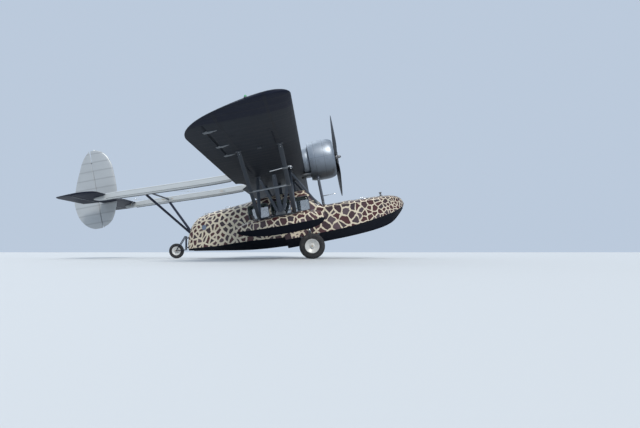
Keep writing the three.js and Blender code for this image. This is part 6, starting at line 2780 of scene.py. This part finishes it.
    def wing_fittings(self) -> None:
        """Fuel caps over the wing, and inspection rings and near-black strips under it."""
        for y in (-0.85, 0.85):
            self.spun([(-0.010, 0.0), (-0.010, 0.050), (0.006, 0.050), (0.010, 0.046), (0.010, 0.034),
                       (0.022, 0.032), (0.024, 0.028), (0.024, 0.0)], BRIGHT, 32,
                      (-0.70, y, WING.height(-0.70, y, 1)), Z_LINE)
        self.studs([((x, side * y, WING.height(x, y, -1)), (0.0, 0.0, -1.0))
                    for y in (1.60, 2.80, 4.00, 5.20, 6.10) for x in (-0.52, -1.26) for side in SIDES],
                   0.034, 0.004, WING_CLOTH, 20)
        # Two near-black strips along the underside on each side.
        for x, inner, outer in ((-0.50, 4.90, 5.90), (-1.43, 2.10, 4.30)):
            for side in SIDES:
                self.bead([(x, side * y, WING.height(x, y, -1) - 0.001) for y in spread(inner, outer, 0.1)],
                          0.011, BOTTOM)
        self.deliver("wing_caps_and_rings", "wing_charcoal")

    def float_fittings(self) -> None:
        """Strakes, rivets and handles on the floats."""
        xs = FLOAT.stations(0.25, -1.98, 0.08)
        self.edge_beads(FLOAT, xs, FLOAT.bottom_steps, 0.001, 0.006, BOTTOM)
        self.keel_bead(FLOAT, xs, 0.003, 0.009)
        places = []
        for x in spread(0.20, -1.90, self.rivet_pitch):
            _, chine_z, _, edge_z, *_ = FLOAT.section(x)
            for z in (edge_z - 0.010, chine_z + 0.030):
                places += [((x, FLOAT_Y + side * FLOAT.side(x, z), z), (0.0, side, 0.0)) for side in SIDES]
        self.studs(places, self.rivet * 0.8, 0.0024, FLOAT_HIDE, 7)
        for x in (0.02, -1.78):
            z = FLOAT.deck(x, 0.0)
            self.bead([(x + step, FLOAT_Y, z + rise) for step, rise in
                       ((-0.05, -0.004), (-0.05, 0.03), (0.05, 0.03), (0.05, -0.004))], 0.006, BRIGHT)
        self.deliver("float_trim_{}", "hide_paint")


# Studio

@dataclass
class Studio:
    """The plain floor, the soft light and the camera."""

    distance: float = 16.5
    aim_x: float = 2.45
    height: float = 0.2
    shift_y: float = 0.059
    dots_per_metre: float = 33.0
    dots_wide: float = 640.0
    sensor: float = 36.0

    def build(self) -> None:
        """Sets the stage."""
        self.camera()
        self.floor()
        self.lights()

    def camera(self) -> None:
        """A camera at floor level, square to the right side and ahead of the middle."""
        data = bpy.data.cameras.new("camera")
        data.lens = self.dots_per_metre * self.distance * self.sensor / self.dots_wide
        data.shift_y = self.shift_y
        data.clip_end = 500.0
        camera = bpy.data.objects.new("camera", data)
        camera.location = (self.aim_x, -self.distance, self.height)
        camera.rotation_euler = (math.pi / 2, 0.0, 0.0)
        bpy.context.scene.collection.objects.link(camera)
        bpy.context.scene.camera = camera

    def floor(self) -> None:
        """A wide pale floor."""
        bpy.ops.mesh.primitive_plane_add(size=400.0)
        floor = bpy.context.object
        floor.name = "studio_floor"
        floor.data.materials.append(FloorPaint("studio_floor_paint").material())

    def lights(self) -> None:
        """A pale sky and two broad, soft suns."""
        bpy.context.scene.view_settings.view_transform = "Standard"
        world = bpy.data.worlds.new("sky")
        world.use_nodes = True
        back = world.node_tree.nodes["Background"]
        back.inputs["Color"].default_value = (0.50, 0.59, 0.715, 1.0)
        back.inputs["Strength"].default_value = 1.0
        bpy.context.scene.world = world
        # Columns: name, the way it comes from, strength, spread in degrees, colour.
        suns = [
            ("key", (4.0, -9.0, 11.0), 2.3, 22.0, (1.0, 0.965, 0.91)),
            ("fill", (-9.0, 10.0, 12.0), 0.7, 60.0, (0.90, 0.95, 1.0)),
        ]
        for name, place, strength, spread_angle, colour in suns:
            data = bpy.data.lights.new(name, "SUN")
            data.energy = strength
            data.angle = math.radians(spread_angle)
            data.color = colour
            lamp = bpy.data.objects.new(name, data)
            lamp.location = place
            lamp.rotation_euler = (-Vector(place)).to_track_quat("-Z", "Y").to_euler()
            bpy.context.scene.collection.objects.link(lamp)


def main() -> None:
    """Builds the machine round its frame."""
    logging.basicConfig(level=logging.INFO, format="%(message)s")
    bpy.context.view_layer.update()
    bpy.ops.object.select_all(action="DESELECT")
    Studio().build()
    for assembly in (Hull, Cabin, SideFloats, Wing, PowerUnit, Booms, Tail, Bracing, MainGear, TailGear,
                     Trim):
        log.info("building %s", assembly.__name__)
        assembly().build()


if __name__ == "__main__":
    main()
